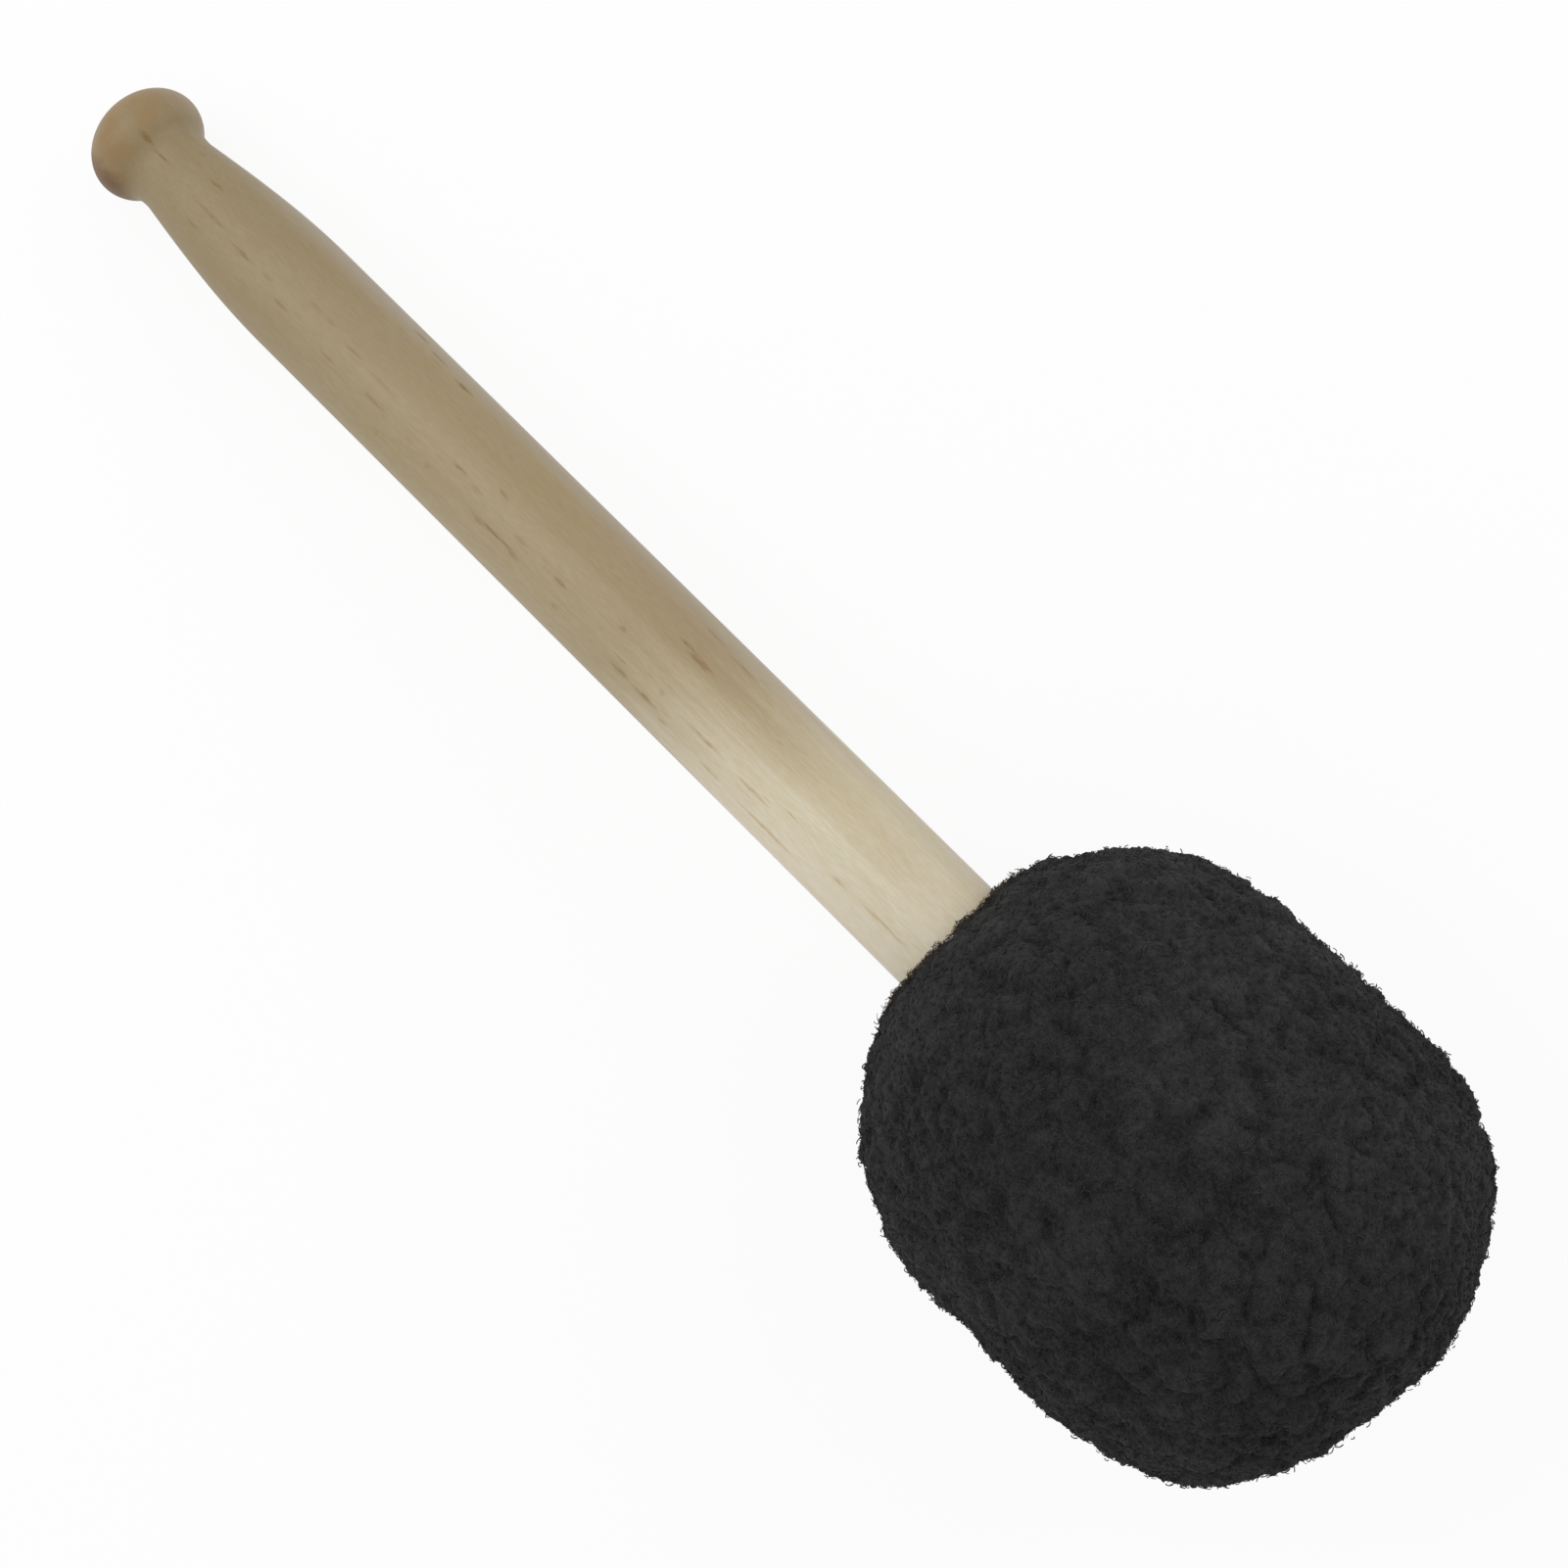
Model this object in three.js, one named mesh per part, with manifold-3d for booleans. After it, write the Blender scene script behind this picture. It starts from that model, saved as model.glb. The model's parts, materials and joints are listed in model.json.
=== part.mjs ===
import * as THREE from "three";
import { mergeVertices } from "three/addons/utils/BufferGeometryUtils.js";
import Module from "manifold-3d";

// A bass drum mallet: a turned hardwood handle with a ball knob at one end, and at the other a
// large soft head of a wooden core, felt and a fleece cover. It lies on its knob and its head.
// Lengths are in millimetres. Every turned piece is drawn with its axis along local Y and the
// knob's tip at zero. A height in the names below is measured along that axis.

// Sizes of the handle
const stockRadius = 12.5; // the rod that the handle is turned from, and so the ball's radius
const knobHalfLength = 9; // the ball is a little flat along the axis
const waistRadius = 9;
const waistReach = 10; // from the ball's centre to the narrowest place of the waist
const creaseRise = 0.25; // the ball meets the waist in a crease this much over the waist's radius
const swellLength = 38; // from the waist to the full rod
const shaftLength = 181.5; // the plain rod, from the end of the swell to the head's end
const shoulderDepth = 3; // the step from the rod down to the tenon
const tenonChamfer = 1;

// Sizes of the core and of what holds it on the tenon
const coreRadius = 28;
const coreLength = 72.5;
const coreEdge = 4; // the rounding of the core's two rims
const tenonDraw = 0.5; // the tenon ends this far short of the core's ledge, so the washer clamps the core
const washerOverlap = 2.5; // how far the washer bears on the core outside the tenon's bore
const washerThickness = 1.6;
const screwRadius = 2.6; // over the thread
const screwLength = 42; // from under the head to the tip
const screwTip = 4;
const threadPitch = 2.4;
const threadDepth = 0.7;
const screwHeadRadius = 4.8;
const screwHeadHeight = 3.4;
const screwHeadEdge = 1.1; // the rounding of the screw head's rim
const recessReach = 2.6; // half the span of the cross recess
const recessWidth = 1.2;
const recessDepth = 2;
const headCover = 3; // how deep the screw's head lies under the core's face

// Sizes of the felt
const rearFelt = 8;
const frontFelt = 6;
const domeFelt = 10;
const innerFelt = 6;
const outerFelt = 4.9;
const skivedEdge = 1; // what is left of a wrap's thickness at its two thinned ends
const wrapJoint = 2.4; // the gap where a wrap's two edges meet, in which its lacing lies

// Sizes of the cover, its cord and its seam
const coverThickness = 9; // backing and pile together
const rearRound = 45.5; // how far the head's rounded rear end reaches along the axis
const frontRound = 42;
const cordRadius = 0.9;
const cordInset = 4; // from the rim of the neck to the cord in its hem
const knotRadius = 1.8;
const seamWidth = 2.6; // the channel inside the cover in which the seam's thread lies
const seamDepth = 1.5;

// Sizes of the threads
const threadRadius = 0.4;
const stitchLength = 9; // one full wave of a thread
const threadInset = 3; // from a wrap's thinned ends to its lacing's ends

// Fits and cuts
const fit = 0.3; // the gap between pieces that touch
const pressDepth = 0.5; // how deep the head's pile is pressed flat where it lies
const overrun = 5; // how far a cutter passes what it cuts

// Angles round the axis, where zero is the top of the mallet as it lies
const innerJointAngle = Math.PI;
const outerJointAngle = 0;
const seamAngle = Math.PI / 2;
const knotAngle = Math.PI / 3;

// Shares and counts
const roundnessShare = 2.18; // exponent of the rounded ends, where 2 is an ellipse and more is blunter
const turnSteps = 40;
const screwSteps = 16;
const endSteps = 9;
const knobSteps = 6;
const swellSteps = 7;
const edgeSteps = 3;
const threadSides = 6;
const cordSides = 6;
const knotSteps = 8;
const waveSteps = 6;
const tiltSteps = 40;

// Heights along the axis
const knobCentre = knobHalfLength;
const waistHeight = knobCentre + waistReach;
const swellEnd = waistHeight + swellLength;
const coverRear = swellEnd + shaftLength;
const hollowRear = coverRear + coverThickness;
const coreRear = hollowRear + fit + rearFelt + fit;
const coreFront = coreRear + coreLength;
const discFoot = coreFront + fit;
const domeFoot = discFoot + frontFelt + fit;
const hollowFront = domeFoot + domeFelt + fit;
const coverFront = hollowFront + coverThickness;
const ledge = coreFront - headCover - screwHeadHeight - fit - washerThickness - fit;
const washerFoot = ledge + fit;
const screwSeat = washerFoot + washerThickness + fit;
const tenonEnd = ledge - tenonDraw;

// Radii from the axis
const innerWrapRadius = coreRadius + fit;
const outerWrapRadius = innerWrapRadius + innerFelt + fit;
const hollowRadius = outerWrapRadius + outerFelt + fit;
const coverRadius = hollowRadius + coverThickness;
const neckRadius = stockRadius + fit;
const tenonRadius = stockRadius - shoulderDepth;
const boreRadius = tenonRadius + fit;
const washerRadius = boreRadius + washerOverlap;
const pilotRadius = screwRadius + fit;
const cordRing = neckRadius + cordRadius;
const knotRing = neckRadius + knotRadius;

const handleWood = new THREE.MeshStandardMaterial({ color: "#c6b594", roughness: 0.55 });
const coreWood = new THREE.MeshStandardMaterial({ color: "#b89468", roughness: 0.7 });
const feltGrey = new THREE.MeshStandardMaterial({ color: "#8d8b86", roughness: 0.95 });
const fleeceBlack = new THREE.MeshStandardMaterial({ color: "#1f1f20", roughness: 0.97 });
const threadDark = new THREE.MeshStandardMaterial({ color: "#2b2a2a", roughness: 0.85 });
const steel = new THREE.MeshStandardMaterial({ color: "#b4b6b8", roughness: 0.35, metalness: 1 });

const wasm = await Module();
wasm.setup();

// The solid of a closed geometry, for cutting and joining
function solidOf(geometry) {
  const bare = geometry.clone();
  bare.deleteAttribute("normal");
  bare.deleteAttribute("uv");
  const merged = mergeVertices(bare);
  const triVerts = new Uint32Array(merged.index.array);
  const vertProperties = merged.attributes.position.array;
  return new wasm.Manifold(new wasm.Mesh({ numProp: 3, vertProperties, triVerts }));
}

function geometryOf(solid) {
  const { vertProperties, triVerts } = solid.getMesh();
  const geometry = new THREE.BufferGeometry();
  geometry.setAttribute("position", new THREE.BufferAttribute(vertProperties, 3));
  geometry.setIndex(new THREE.BufferAttribute(triVerts, 1));
  return geometry;
}

const point = (radius, height) => new THREE.Vector2(radius, height);

// Evenly spread shares from 0 to 1
const shares = (steps) => Array.from({ length: steps + 1 }, (_, i) => i / steps);

// A round edge about its own centre, from one angle to another
function roundEdge(centreRadius, centreHeight, size, from, to) {
  return shares(edgeSteps).map((share) => {
    const angle = from + (to - from) * share;
    return point(centreRadius + size * Math.cos(angle), centreHeight + size * Math.sin(angle));
  });
}

// The radius of a rounded end at a depth in from its tip
function endRadius(depth, round, radius) {
  const share = 1 - Math.min(depth / round, 1);
  return radius * (1 - share ** roundnessShare) ** (1 / roundnessShare);
}

// The depth at which a rounded end has grown to a given radius
function endDepth(reached, round, radius) {
  const share = reached / radius;
  return round * (1 - (1 - share ** roundnessShare) ** (1 / roundnessShare));
}

// The outline of a rounded end, from a radius on its face out to the side. The direction is 1
// where the end faces the knob and -1 where it faces away.
function endOutline(tip, direction, round, radius, startRadius) {
  const startAngle = Math.acos(1 - endDepth(startRadius, round, radius) / round);
  return shares(endSteps).map((share) => {
    const depth = round * (1 - Math.cos(startAngle + (Math.PI / 2 - startAngle) * share));
    return point(endRadius(depth, round, radius), tip + direction * depth);
  });
}

// The head's two rounded ends, drawn an inset inside the cover's outside
const rearOutline = (inset, startRadius) =>
  endOutline(coverRear + inset, 1, rearRound - inset, coverRadius - inset, startRadius);
const frontOutline = (inset) =>
  endOutline(coverFront - inset, -1, frontRound - inset, coverRadius - inset, 0);

const turned = (outline, steps = turnSteps) => new THREE.LatheGeometry(outline, steps);

// The head's whole form as a solid, at an inset
const headForm = (inset) => solidOf(turned([...rearOutline(inset, 0), ...frontOutline(inset).reverse()]));

// A plain turned tube, or a disc where the inner radius is zero
function tube(inner, outer, from, to) {
  return turned([point(inner, from), point(outer, from), point(outer, to), point(inner, to), point(inner, from)]);
}

// A bar that stands out from the axis at an angle, for cutting a wrap's joint or the seam's channel
function radialBar(width, reach, from, to, angle) {
  const bar = new THREE.BoxGeometry(width, to - from, reach);
  bar.translate(0, (from + to) / 2, reach / 2);
  bar.rotateY(angle);
  return solidOf(bar);
}

// A thread's path: it wavers from side to side while it follows the axis at a radius, which may
// change with the height
class ThreadPath extends THREE.Curve {
  constructor(radiusAt, from, to, sway) {
    super();
    this.radiusAt = radiusAt;
    this.from = from;
    this.to = to;
    this.sway = sway;
    this.waves = Math.max(Math.round((to - from) / stitchLength), 1);
  }

  getPoint(share, target = new THREE.Vector3()) {
    const height = this.from + (this.to - this.from) * share;
    const across = this.sway * Math.sin(share * this.waves * Math.PI * 2);
    return target.set(across, height, this.radiusAt(height));
  }
}

function threadAlong(radiusAt, from, to, channelWidth, angle) {
  const path = new ThreadPath(radiusAt, from, to, channelWidth / 2 - threadRadius - fit);
  const section = new THREE.Shape();
  section.absarc(0, 0, threadRadius, 0, Math.PI * 2);
  const thread = new THREE.ExtrudeGeometry(section, {
    steps: path.waves * waveSteps,
    curveSegments: threadSides / 2,
    extrudePath: path,
  });
  return thread.rotateY(angle);
}

const mallet = new THREE.Group();

function addPiece(name, geometry, material) {
  const piece = new THREE.Mesh(geometry, material);
  piece.name = name;
  mallet.add(piece);
}

// The handle: ball knob, waist, swelling grip, plain shaft, and a tenon with the screw's pilot hole
function handleOutline() {
  const creaseRadius = waistRadius + creaseRise;
  const creaseAngle = Math.PI - Math.asin(creaseRadius / stockRadius);
  const ball = (angle) => point(stockRadius * Math.sin(angle), knobCentre - knobHalfLength * Math.cos(angle));
  const front = shares(knobSteps).map((share) => ball((share * Math.PI) / 2));
  const back = shares(knobSteps).map((share) => ball(Math.PI / 2 + (creaseAngle - Math.PI / 2) * share));
  const crease = back[back.length - 1];
  const waist = shares(edgeSteps).map((share) =>
    point(
      creaseRadius - creaseRise * Math.sin((share * Math.PI) / 2),
      crease.y + (waistHeight - crease.y) * share,
    ),
  );
  const swell = shares(swellSteps).map((share) =>
    point(
      waistRadius + (stockRadius - waistRadius) * Math.sin((share * Math.PI) / 2),
      waistHeight + swellLength * share,
    ),
  );
  const shoulder = coreRear - fit;
  const pilotFoot = screwSeat - screwLength - fit;
  return [
    ...front,
    ...back.slice(1),
    ...waist.slice(1),
    ...swell.slice(1),
    point(stockRadius, shoulder),
    point(tenonRadius, shoulder),
    point(tenonRadius, tenonEnd - tenonChamfer),
    point(tenonRadius - tenonChamfer, tenonEnd),
    point(pilotRadius, tenonEnd),
    point(pilotRadius, pilotFoot + screwTip),
    point(0, pilotFoot),
  ];
}

// The core: bored for the tenon, and bored wider in front for the washer and the screw's head
function coreOutline() {
  const rimRadius = coreRadius - coreEdge;
  const counterbore = washerRadius + fit;
  return [
    point(boreRadius, coreRear),
    ...roundEdge(rimRadius, coreRear + coreEdge, coreEdge, -Math.PI / 2, 0),
    ...roundEdge(rimRadius, coreFront - coreEdge, coreEdge, 0, Math.PI / 2),
    point(counterbore, coreFront),
    point(counterbore, ledge),
    point(boreRadius, ledge),
    point(boreRadius, coreRear),
  ];
}

// The screw: each turn of its thread is drawn as one ridge
function screwOutline() {
  const tip = screwSeat - screwLength;
  const threadFoot = tip + screwTip;
  const rootRadius = screwRadius - threadDepth;
  const ridges = Math.floor((screwSeat - threadFoot) / threadPitch);
  const thread = Array.from({ length: ridges }, (_, i) => [
    point(rootRadius, threadFoot + threadPitch * i),
    point(screwRadius, threadFoot + threadPitch * (i + 1 / 2)),
  ]).flat();
  const headTop = screwSeat + screwHeadHeight;
  return [
    point(0, tip),
    ...thread,
    point(rootRadius, screwSeat),
    point(screwHeadRadius, screwSeat),
    ...roundEdge(screwHeadRadius - screwHeadEdge, headTop - screwHeadEdge, screwHeadEdge, 0, Math.PI / 2),
    point(0, headTop),
  ];
}

function screwSolid() {
  const headTop = screwSeat + screwHeadHeight;
  const foot = headTop - recessDepth;
  const slots = [0, Math.PI / 2].map((angle) => {
    const slot = new THREE.BoxGeometry(recessReach * 2, recessDepth + overrun, recessWidth);
    slot.translate(0, foot + (recessDepth + overrun) / 2, 0);
    slot.rotateY(angle);
    return solidOf(slot);
  });
  return solidOf(turned(screwOutline(), screwSteps)).subtract(slots[0].add(slots[1]));
}

addPiece("handle", turned(handleOutline()), handleWood);

const padding = headForm(coverThickness + fit);

addPiece("core", geometryOf(solidOf(turned(coreOutline())).intersect(padding)), coreWood);
addPiece("core_washer", tube(pilotRadius, washerRadius, washerFoot, washerFoot + washerThickness), steel);
addPiece("core_screw", geometryOf(screwSolid()), steel);

// The felt that fills the cover round the core is trimmed to the cover's hollow
const trimmed = (geometry) => geometryOf(solidOf(geometry).intersect(padding));

addPiece("rear_felt_ring", trimmed(tube(neckRadius, coreRadius, coverRear, coreRear - fit)), feltGrey);
addPiece("front_felt_disc", trimmed(tube(0, coreRadius, discFoot, discFoot + frontFelt)), feltGrey);
addPiece("front_felt_dome", trimmed(tube(0, coreRadius, domeFoot, coverFront)), feltGrey);

// A felt wrap: a sheet bent round the core and laced along the joint where its edges meet
function addWrap(name, radius, outerRadius, angle) {
  const inset = coverThickness + fit;
  const thinned = (round) => endDepth(radius + skivedEdge, round - inset, coverRadius - inset);
  const from = coverRear + inset + thinned(rearRound);
  const to = coverFront - inset - thinned(frontRound);
  const sheet = solidOf(tube(radius, outerRadius, from, to)).intersect(padding);
  const joint = radialBar(wrapJoint, outerRadius + overrun, from - overrun, to + overrun, angle);
  addPiece(name + "_wrap", geometryOf(sheet.subtract(joint)), feltGrey);
  const laceRadius = radius + fit + threadRadius;
  const lacing = threadAlong(() => laceRadius, from + threadInset, to - threadInset, wrapJoint, angle);
  addPiece(name + "_lacing", lacing, threadDark);
}

addWrap("inner_felt", innerWrapRadius, innerWrapRadius + innerFelt, innerJointAngle);
addWrap("outer_felt", outerWrapRadius, coverRadius, outerJointAngle);

// The cover: its neck has a groove for the cord and a pocket for the cord's knot
const cordHeight = coverRear + endDepth(neckRadius, rearRound, coverRadius) + cordInset;

function coverOutline() {
  const grooveRadius = cordRing + cordRadius + fit;
  const grooveHalf = cordRadius + fit;
  return [
    ...frontOutline(coverThickness),
    ...rearOutline(coverThickness, neckRadius).reverse(),
    point(neckRadius, cordHeight + grooveHalf),
    point(grooveRadius, cordHeight + grooveHalf),
    point(grooveRadius, cordHeight - grooveHalf),
    point(neckRadius, cordHeight - grooveHalf),
    ...rearOutline(0, neckRadius),
    ...frontOutline(0).reverse(),
  ];
}

function knotBall(radius) {
  const ball = new THREE.SphereGeometry(radius, knotSteps, knotSteps);
  ball.translate(0, cordHeight, knotRing);
  ball.rotateY(knotAngle);
  return solidOf(ball);
}

const cord = new THREE.TorusGeometry(cordRing, cordRadius, cordSides, turnSteps);
cord.rotateX(Math.PI / 2);
cord.translate(0, cordHeight, 0);
addPiece("neck_drawstring", geometryOf(solidOf(cord).add(knotBall(knotRadius))), threadDark);

// The seam runs up the inside of the cover as far as the outer felt lies against it
const hollowEnd = (round) => endDepth(outerWrapRadius, round - coverThickness, hollowRadius);
const seamFrom = hollowRear + hollowEnd(rearRound);
const seamTo = hollowFront - hollowEnd(frontRound);

function seamRadiusAt(height) {
  const rear = endRadius(height - hollowRear, rearRound - coverThickness, hollowRadius);
  const front = endRadius(hollowFront - height, frontRound - coverThickness, hollowRadius);
  return Math.min(rear, front) + fit + threadRadius;
}

addPiece(
  "cover_seam_thread",
  threadAlong(seamRadiusAt, seamFrom + threadInset, seamTo - threadInset, seamWidth, seamAngle),
  threadDark,
);

// The mallet lies tilted, so that the knob and the pressed patch under the head meet the table
const knobOutline = handleOutline();
const headOutline = [...rearOutline(0, neckRadius), ...frontOutline(0)];

function lowest(outline, tilt) {
  return Math.min(...outline.map((p) => p.y * Math.sin(tilt) - p.x * Math.cos(tilt)));
}

function restingTilt() {
  let low = 0;
  let high = Math.PI / 2;
  for (let step = 0; step < tiltSteps; step += 1) {
    const tilt = (low + high) / 2;
    if (lowest(headOutline, tilt) + pressDepth < lowest(knobOutline, tilt)) low = tilt;
    else high = tilt;
  }
  return low;
}

const tilt = restingTilt();
const knobReach = Math.min(...knobOutline.map((p) => p.y * Math.cos(tilt) - p.x * Math.sin(tilt)));
const headReach = Math.max(...headOutline.map((p) => p.y * Math.cos(tilt) + p.x * Math.sin(tilt)));

const resting = new THREE.Group();
resting.add(mallet);
mallet.rotation.z = -Math.PI / 2;
resting.rotation.y = -tilt;
resting.position.set(-(knobReach + headReach) / 2, 0, -lowest(knobOutline, tilt));
resting.updateMatrixWorld(true);

// What the table presses flat under the head, drawn below the table and carried into the mallet's frame
const table = new THREE.BoxGeometry(coverFront * 2, coverRadius * 2 + overrun, coverRadius);
table.translate(0, 0, -coverRadius / 2);
table.applyMatrix4(mallet.matrixWorld.clone().invert());

const channelForm = headForm(coverThickness - seamDepth);
const channelBar = radialBar(seamWidth, coverRadius, seamFrom, seamTo, seamAngle);
const cover = solidOf(turned(coverOutline()))
  .subtract(knotBall(knotRadius + fit))
  .subtract(channelForm.intersect(channelBar))
  .subtract(solidOf(table));
addPiece("fleece_cover", geometryOf(cover), fleeceBlack);

export default resting;
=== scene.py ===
"""A bass drum mallet: a turned hardwood handle and a soft head of wood, felt and curly fleece.

Lengths are in metres. Every piece is drawn in the mallet's own frame, with the axis along local
Z, the knob's tip at zero and local X to the top of the mallet as it lies, and is then put in place.
"""

import json
import math
import bmesh
import bpy
from mathutils import Matrix, Vector, noise

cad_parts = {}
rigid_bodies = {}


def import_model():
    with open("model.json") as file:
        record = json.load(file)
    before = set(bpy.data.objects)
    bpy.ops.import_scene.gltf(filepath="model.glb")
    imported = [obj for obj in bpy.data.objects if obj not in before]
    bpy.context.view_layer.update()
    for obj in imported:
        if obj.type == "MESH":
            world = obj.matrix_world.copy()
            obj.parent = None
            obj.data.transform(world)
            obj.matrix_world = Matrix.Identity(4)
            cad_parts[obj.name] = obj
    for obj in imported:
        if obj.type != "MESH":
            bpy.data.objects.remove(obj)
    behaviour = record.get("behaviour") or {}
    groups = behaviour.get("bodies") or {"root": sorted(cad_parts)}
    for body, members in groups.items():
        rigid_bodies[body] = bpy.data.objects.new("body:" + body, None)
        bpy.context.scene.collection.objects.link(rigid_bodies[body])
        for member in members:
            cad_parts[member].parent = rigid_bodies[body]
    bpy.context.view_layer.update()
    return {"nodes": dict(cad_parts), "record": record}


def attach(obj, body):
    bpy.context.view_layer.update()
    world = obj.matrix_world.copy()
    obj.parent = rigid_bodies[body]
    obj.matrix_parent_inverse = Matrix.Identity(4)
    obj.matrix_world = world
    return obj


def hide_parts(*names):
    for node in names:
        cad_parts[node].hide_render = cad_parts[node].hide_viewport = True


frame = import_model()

bl_info = {
    "name": "Bass Drum Mallet",
    "version": (1, 0, 0),
    "blender": (4, 5, 0),
    "location": "3D View > Sidebar > Mallet",
    "description": "Builds a bass drum mallet with a turned handle and a fleece head",
    "category": "Add Mesh",
}

MM = 0.001
FULL_TURN = 2 * math.pi
QUARTER_TURN = math.pi / 2
BODY = "root"
PILE_SHADE = "pile_tops"

# The gap between two pieces, the distance within which points are one, and the least sharp edge
FIT = 0.3 * MM
MERGE_DISTANCE = 0.001 * MM
SHARP_EDGE = math.radians(38)


def mallet_place():
    """The place of the mallet's own frame, from the grip mount and the handle's lowest point."""
    grip = next(m for m in frame["record"]["mounts"] if m["name"] == "hand_grip")
    axis = -Vector(grip["axis"]).normalized()
    on_axis = Vector(grip["pos_m"])
    vertices = frame["nodes"]["handle"].data.vertices
    tip = on_axis + axis * min((v.co - on_axis).dot(axis) for v in vertices)
    side = Vector((0, -1, 0))
    place = Matrix((side.cross(axis), side, axis)).transposed().to_4x4()
    place.translation = tip
    return place


PLACE = mallet_place()


class Span:
    """Where a node lies along the axis and how far it reaches from it."""

    def __init__(self, node):
        seat = PLACE.inverted()
        points = [seat @ v.co for v in frame["nodes"][node].data.vertices]
        self.start = min(p.z for p in points)
        self.end = max(p.z for p in points)
        self.outer = max(math.hypot(p.x, p.y) for p in points)


HANDLE = Span("handle")
CORE = Span("core")
SCREW = Span("core_screw")
COVER = Span("fleece_cover")


def amount(name, description, default, **kind):
    """A number that a user can change."""
    return bpy.props.FloatProperty(name=name, description=description, default=default, **kind)


def length(name, description, millimetres):
    """A length that a user can change."""
    return amount(name, description, millimetres * MM, precision=5, unit="LENGTH")


def slope(name, description, degrees):
    """An angle that a user can change."""
    return amount(name, description, math.radians(degrees), subtype="ANGLE")


def linear(red, green, blue):
    """A colour as it is seen on a screen, from 0 to 255, as Blender's linear values."""
    shares = [channel / 255 for channel in (red, green, blue)]
    return [s / 12.92 if s <= 0.04045 else ((s + 0.055) / 1.055) ** 2.4 for s in shares]


def colour(name, description, red, green, blue):
    """A colour that a user can change."""
    return bpy.props.FloatVectorProperty(
        name=name, description=description, default=linear(red, green, blue),
        subtype="COLOR", size=3, min=0, max=1,
    )


class HandleSettings(bpy.types.PropertyGroup):
    """Sizes and colours of the turned handle."""

    knob_half: length("Knob half length", "From the knob's centre to its tip", 9)
    waist_radius: length("Waist radius", "Radius at the narrowest place behind the knob", 9)
    waist_reach: length("Waist reach", "From the knob's centre to the narrowest place", 10)
    crease_rise: length("Crease rise", "How far the crease stands over the waist's radius", 0.25)
    crease_fillet: length("Crease fillet", "Reach of the soft bend where the ball meets the waist", 1.6)
    swell_length: length("Swell length", "From the waist to the full rod", 38)
    tenon_radius: length("Tenon radius", "Radius of the tenon inside the core", 9.5)
    tenon_chamfer: length("Tenon chamfer", "Size of the chamfer at the tenon's end", 1)
    screw_radius: length("Pilot hole radius", "Radius of the hole for the core's screw", 2.9)
    screw_tip: length("Pilot hole point", "Length of the pilot hole's point", 4)
    heartwood: colour("Heartwood", "Tan wood of the middle of the shaft", 168, 152, 122)
    # Darker wood of the grip, towards the knob.
    grip_tone: colour("Handled wood", "Wood of the grip, darkened by hands", 148, 133, 102)
    sapwood: colour("Sapwood", "Pale wood near the head", 218, 210, 188)
    golden: colour("Golden wood", "The golden band beside the pale wood", 211, 200, 174)
    # Colour of the painted light on the wood, along one side of the pale wood and near the neck.
    painted_light: colour("Fresh wood", "The palest wood, along the side away from the greyed one", 228, 219, 199)
    # Colour of the painted reflection: a grey sheen along one side of the shaft.
    reflection_grey: colour("Greyed wood", "Dry, greyed wood along one side", 164, 154, 140)
    knob_blush: colour("Knob blush", "Warm end grain on the knob", 145, 119, 80)
    # Colour of the painted shade on one side of the knob.
    knob_shade: colour("Knob burnish", "Brown wood where the knob was turned hot", 100, 68, 34)
    fleck: colour("Fleck", "Brown marks along the grain", 120, 93, 50)
    pale_fleck: colour("Pale fleck", "Golden marks in the pale wood", 172, 136, 76)
    handled_reach: length("Handled reach", "Height up to which the grip is darkened", 140)
    pale_from: length("Pale wood from", "Height at which the wood starts to turn pale", 153)
    pale_reach: length("Pale wood reach", "Length over which the wood turns pale", 54)


class CoverSettings(bpy.types.PropertyGroup):
    """Sizes and colours of the fleece cover."""

    thickness: length("Cover thickness", "Backing and pile together", 9)
    rear_round: length("Rear round", "How far the rounded rear end reaches along the axis", 45.5)
    front_round: length("Front round", "How far the rounded front end reaches along the axis", 42)
    pile_rest: length("Pile rest", "How deep the knotted pile lies under the cover's outline", 0.7)
    lean: length("Lean", "How far the stuffed bag sits to one side", 1.0)
    slack: length("Slack", "How far the bag lies inside its outline before it is stuffed", 0.3)
    front_fill: length("Front filling", "How far the padding pushes the bag's front out", 1.4)
    swell_limit: length("Swell limit", "The most that the stuffing moves a place of the bag", 2.0)
    lump: length("Lump size", "Size of the pile's lumps", 4.6)
    tuft: length("Tuft size", "Size of the tufts that a lump is made of", 2.3)
    curl_gap: length("Curl gap", "Least distance between the roots of two curls", 0.95)
    # The deep and top colours of the pile, the curls and the fringe are blended by a painted shade, darker
    # between the tufts and lighter on top of them.
    pile_dark: colour("Deep pile", "Colour of the pile between its tufts", 8, 8, 8)
    pile_light: colour("Pile tops", "Colour of the pile on top of its tufts", 57, 57, 57)
    curl_dark: colour("Deep curls", "Colour of the curls between the tufts", 18, 18, 18)
    curl_light: colour("Curl tips", "Colour of the curls on top of the tufts", 70, 70, 70)
    fringe_dark: colour("Deep fringe", "Brownish black of the loose fibres at the neck", 24, 21, 17)
    fringe_light: colour("Fringe tips", "Brown of the loose fibres' tips", 84, 71, 56)


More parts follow.
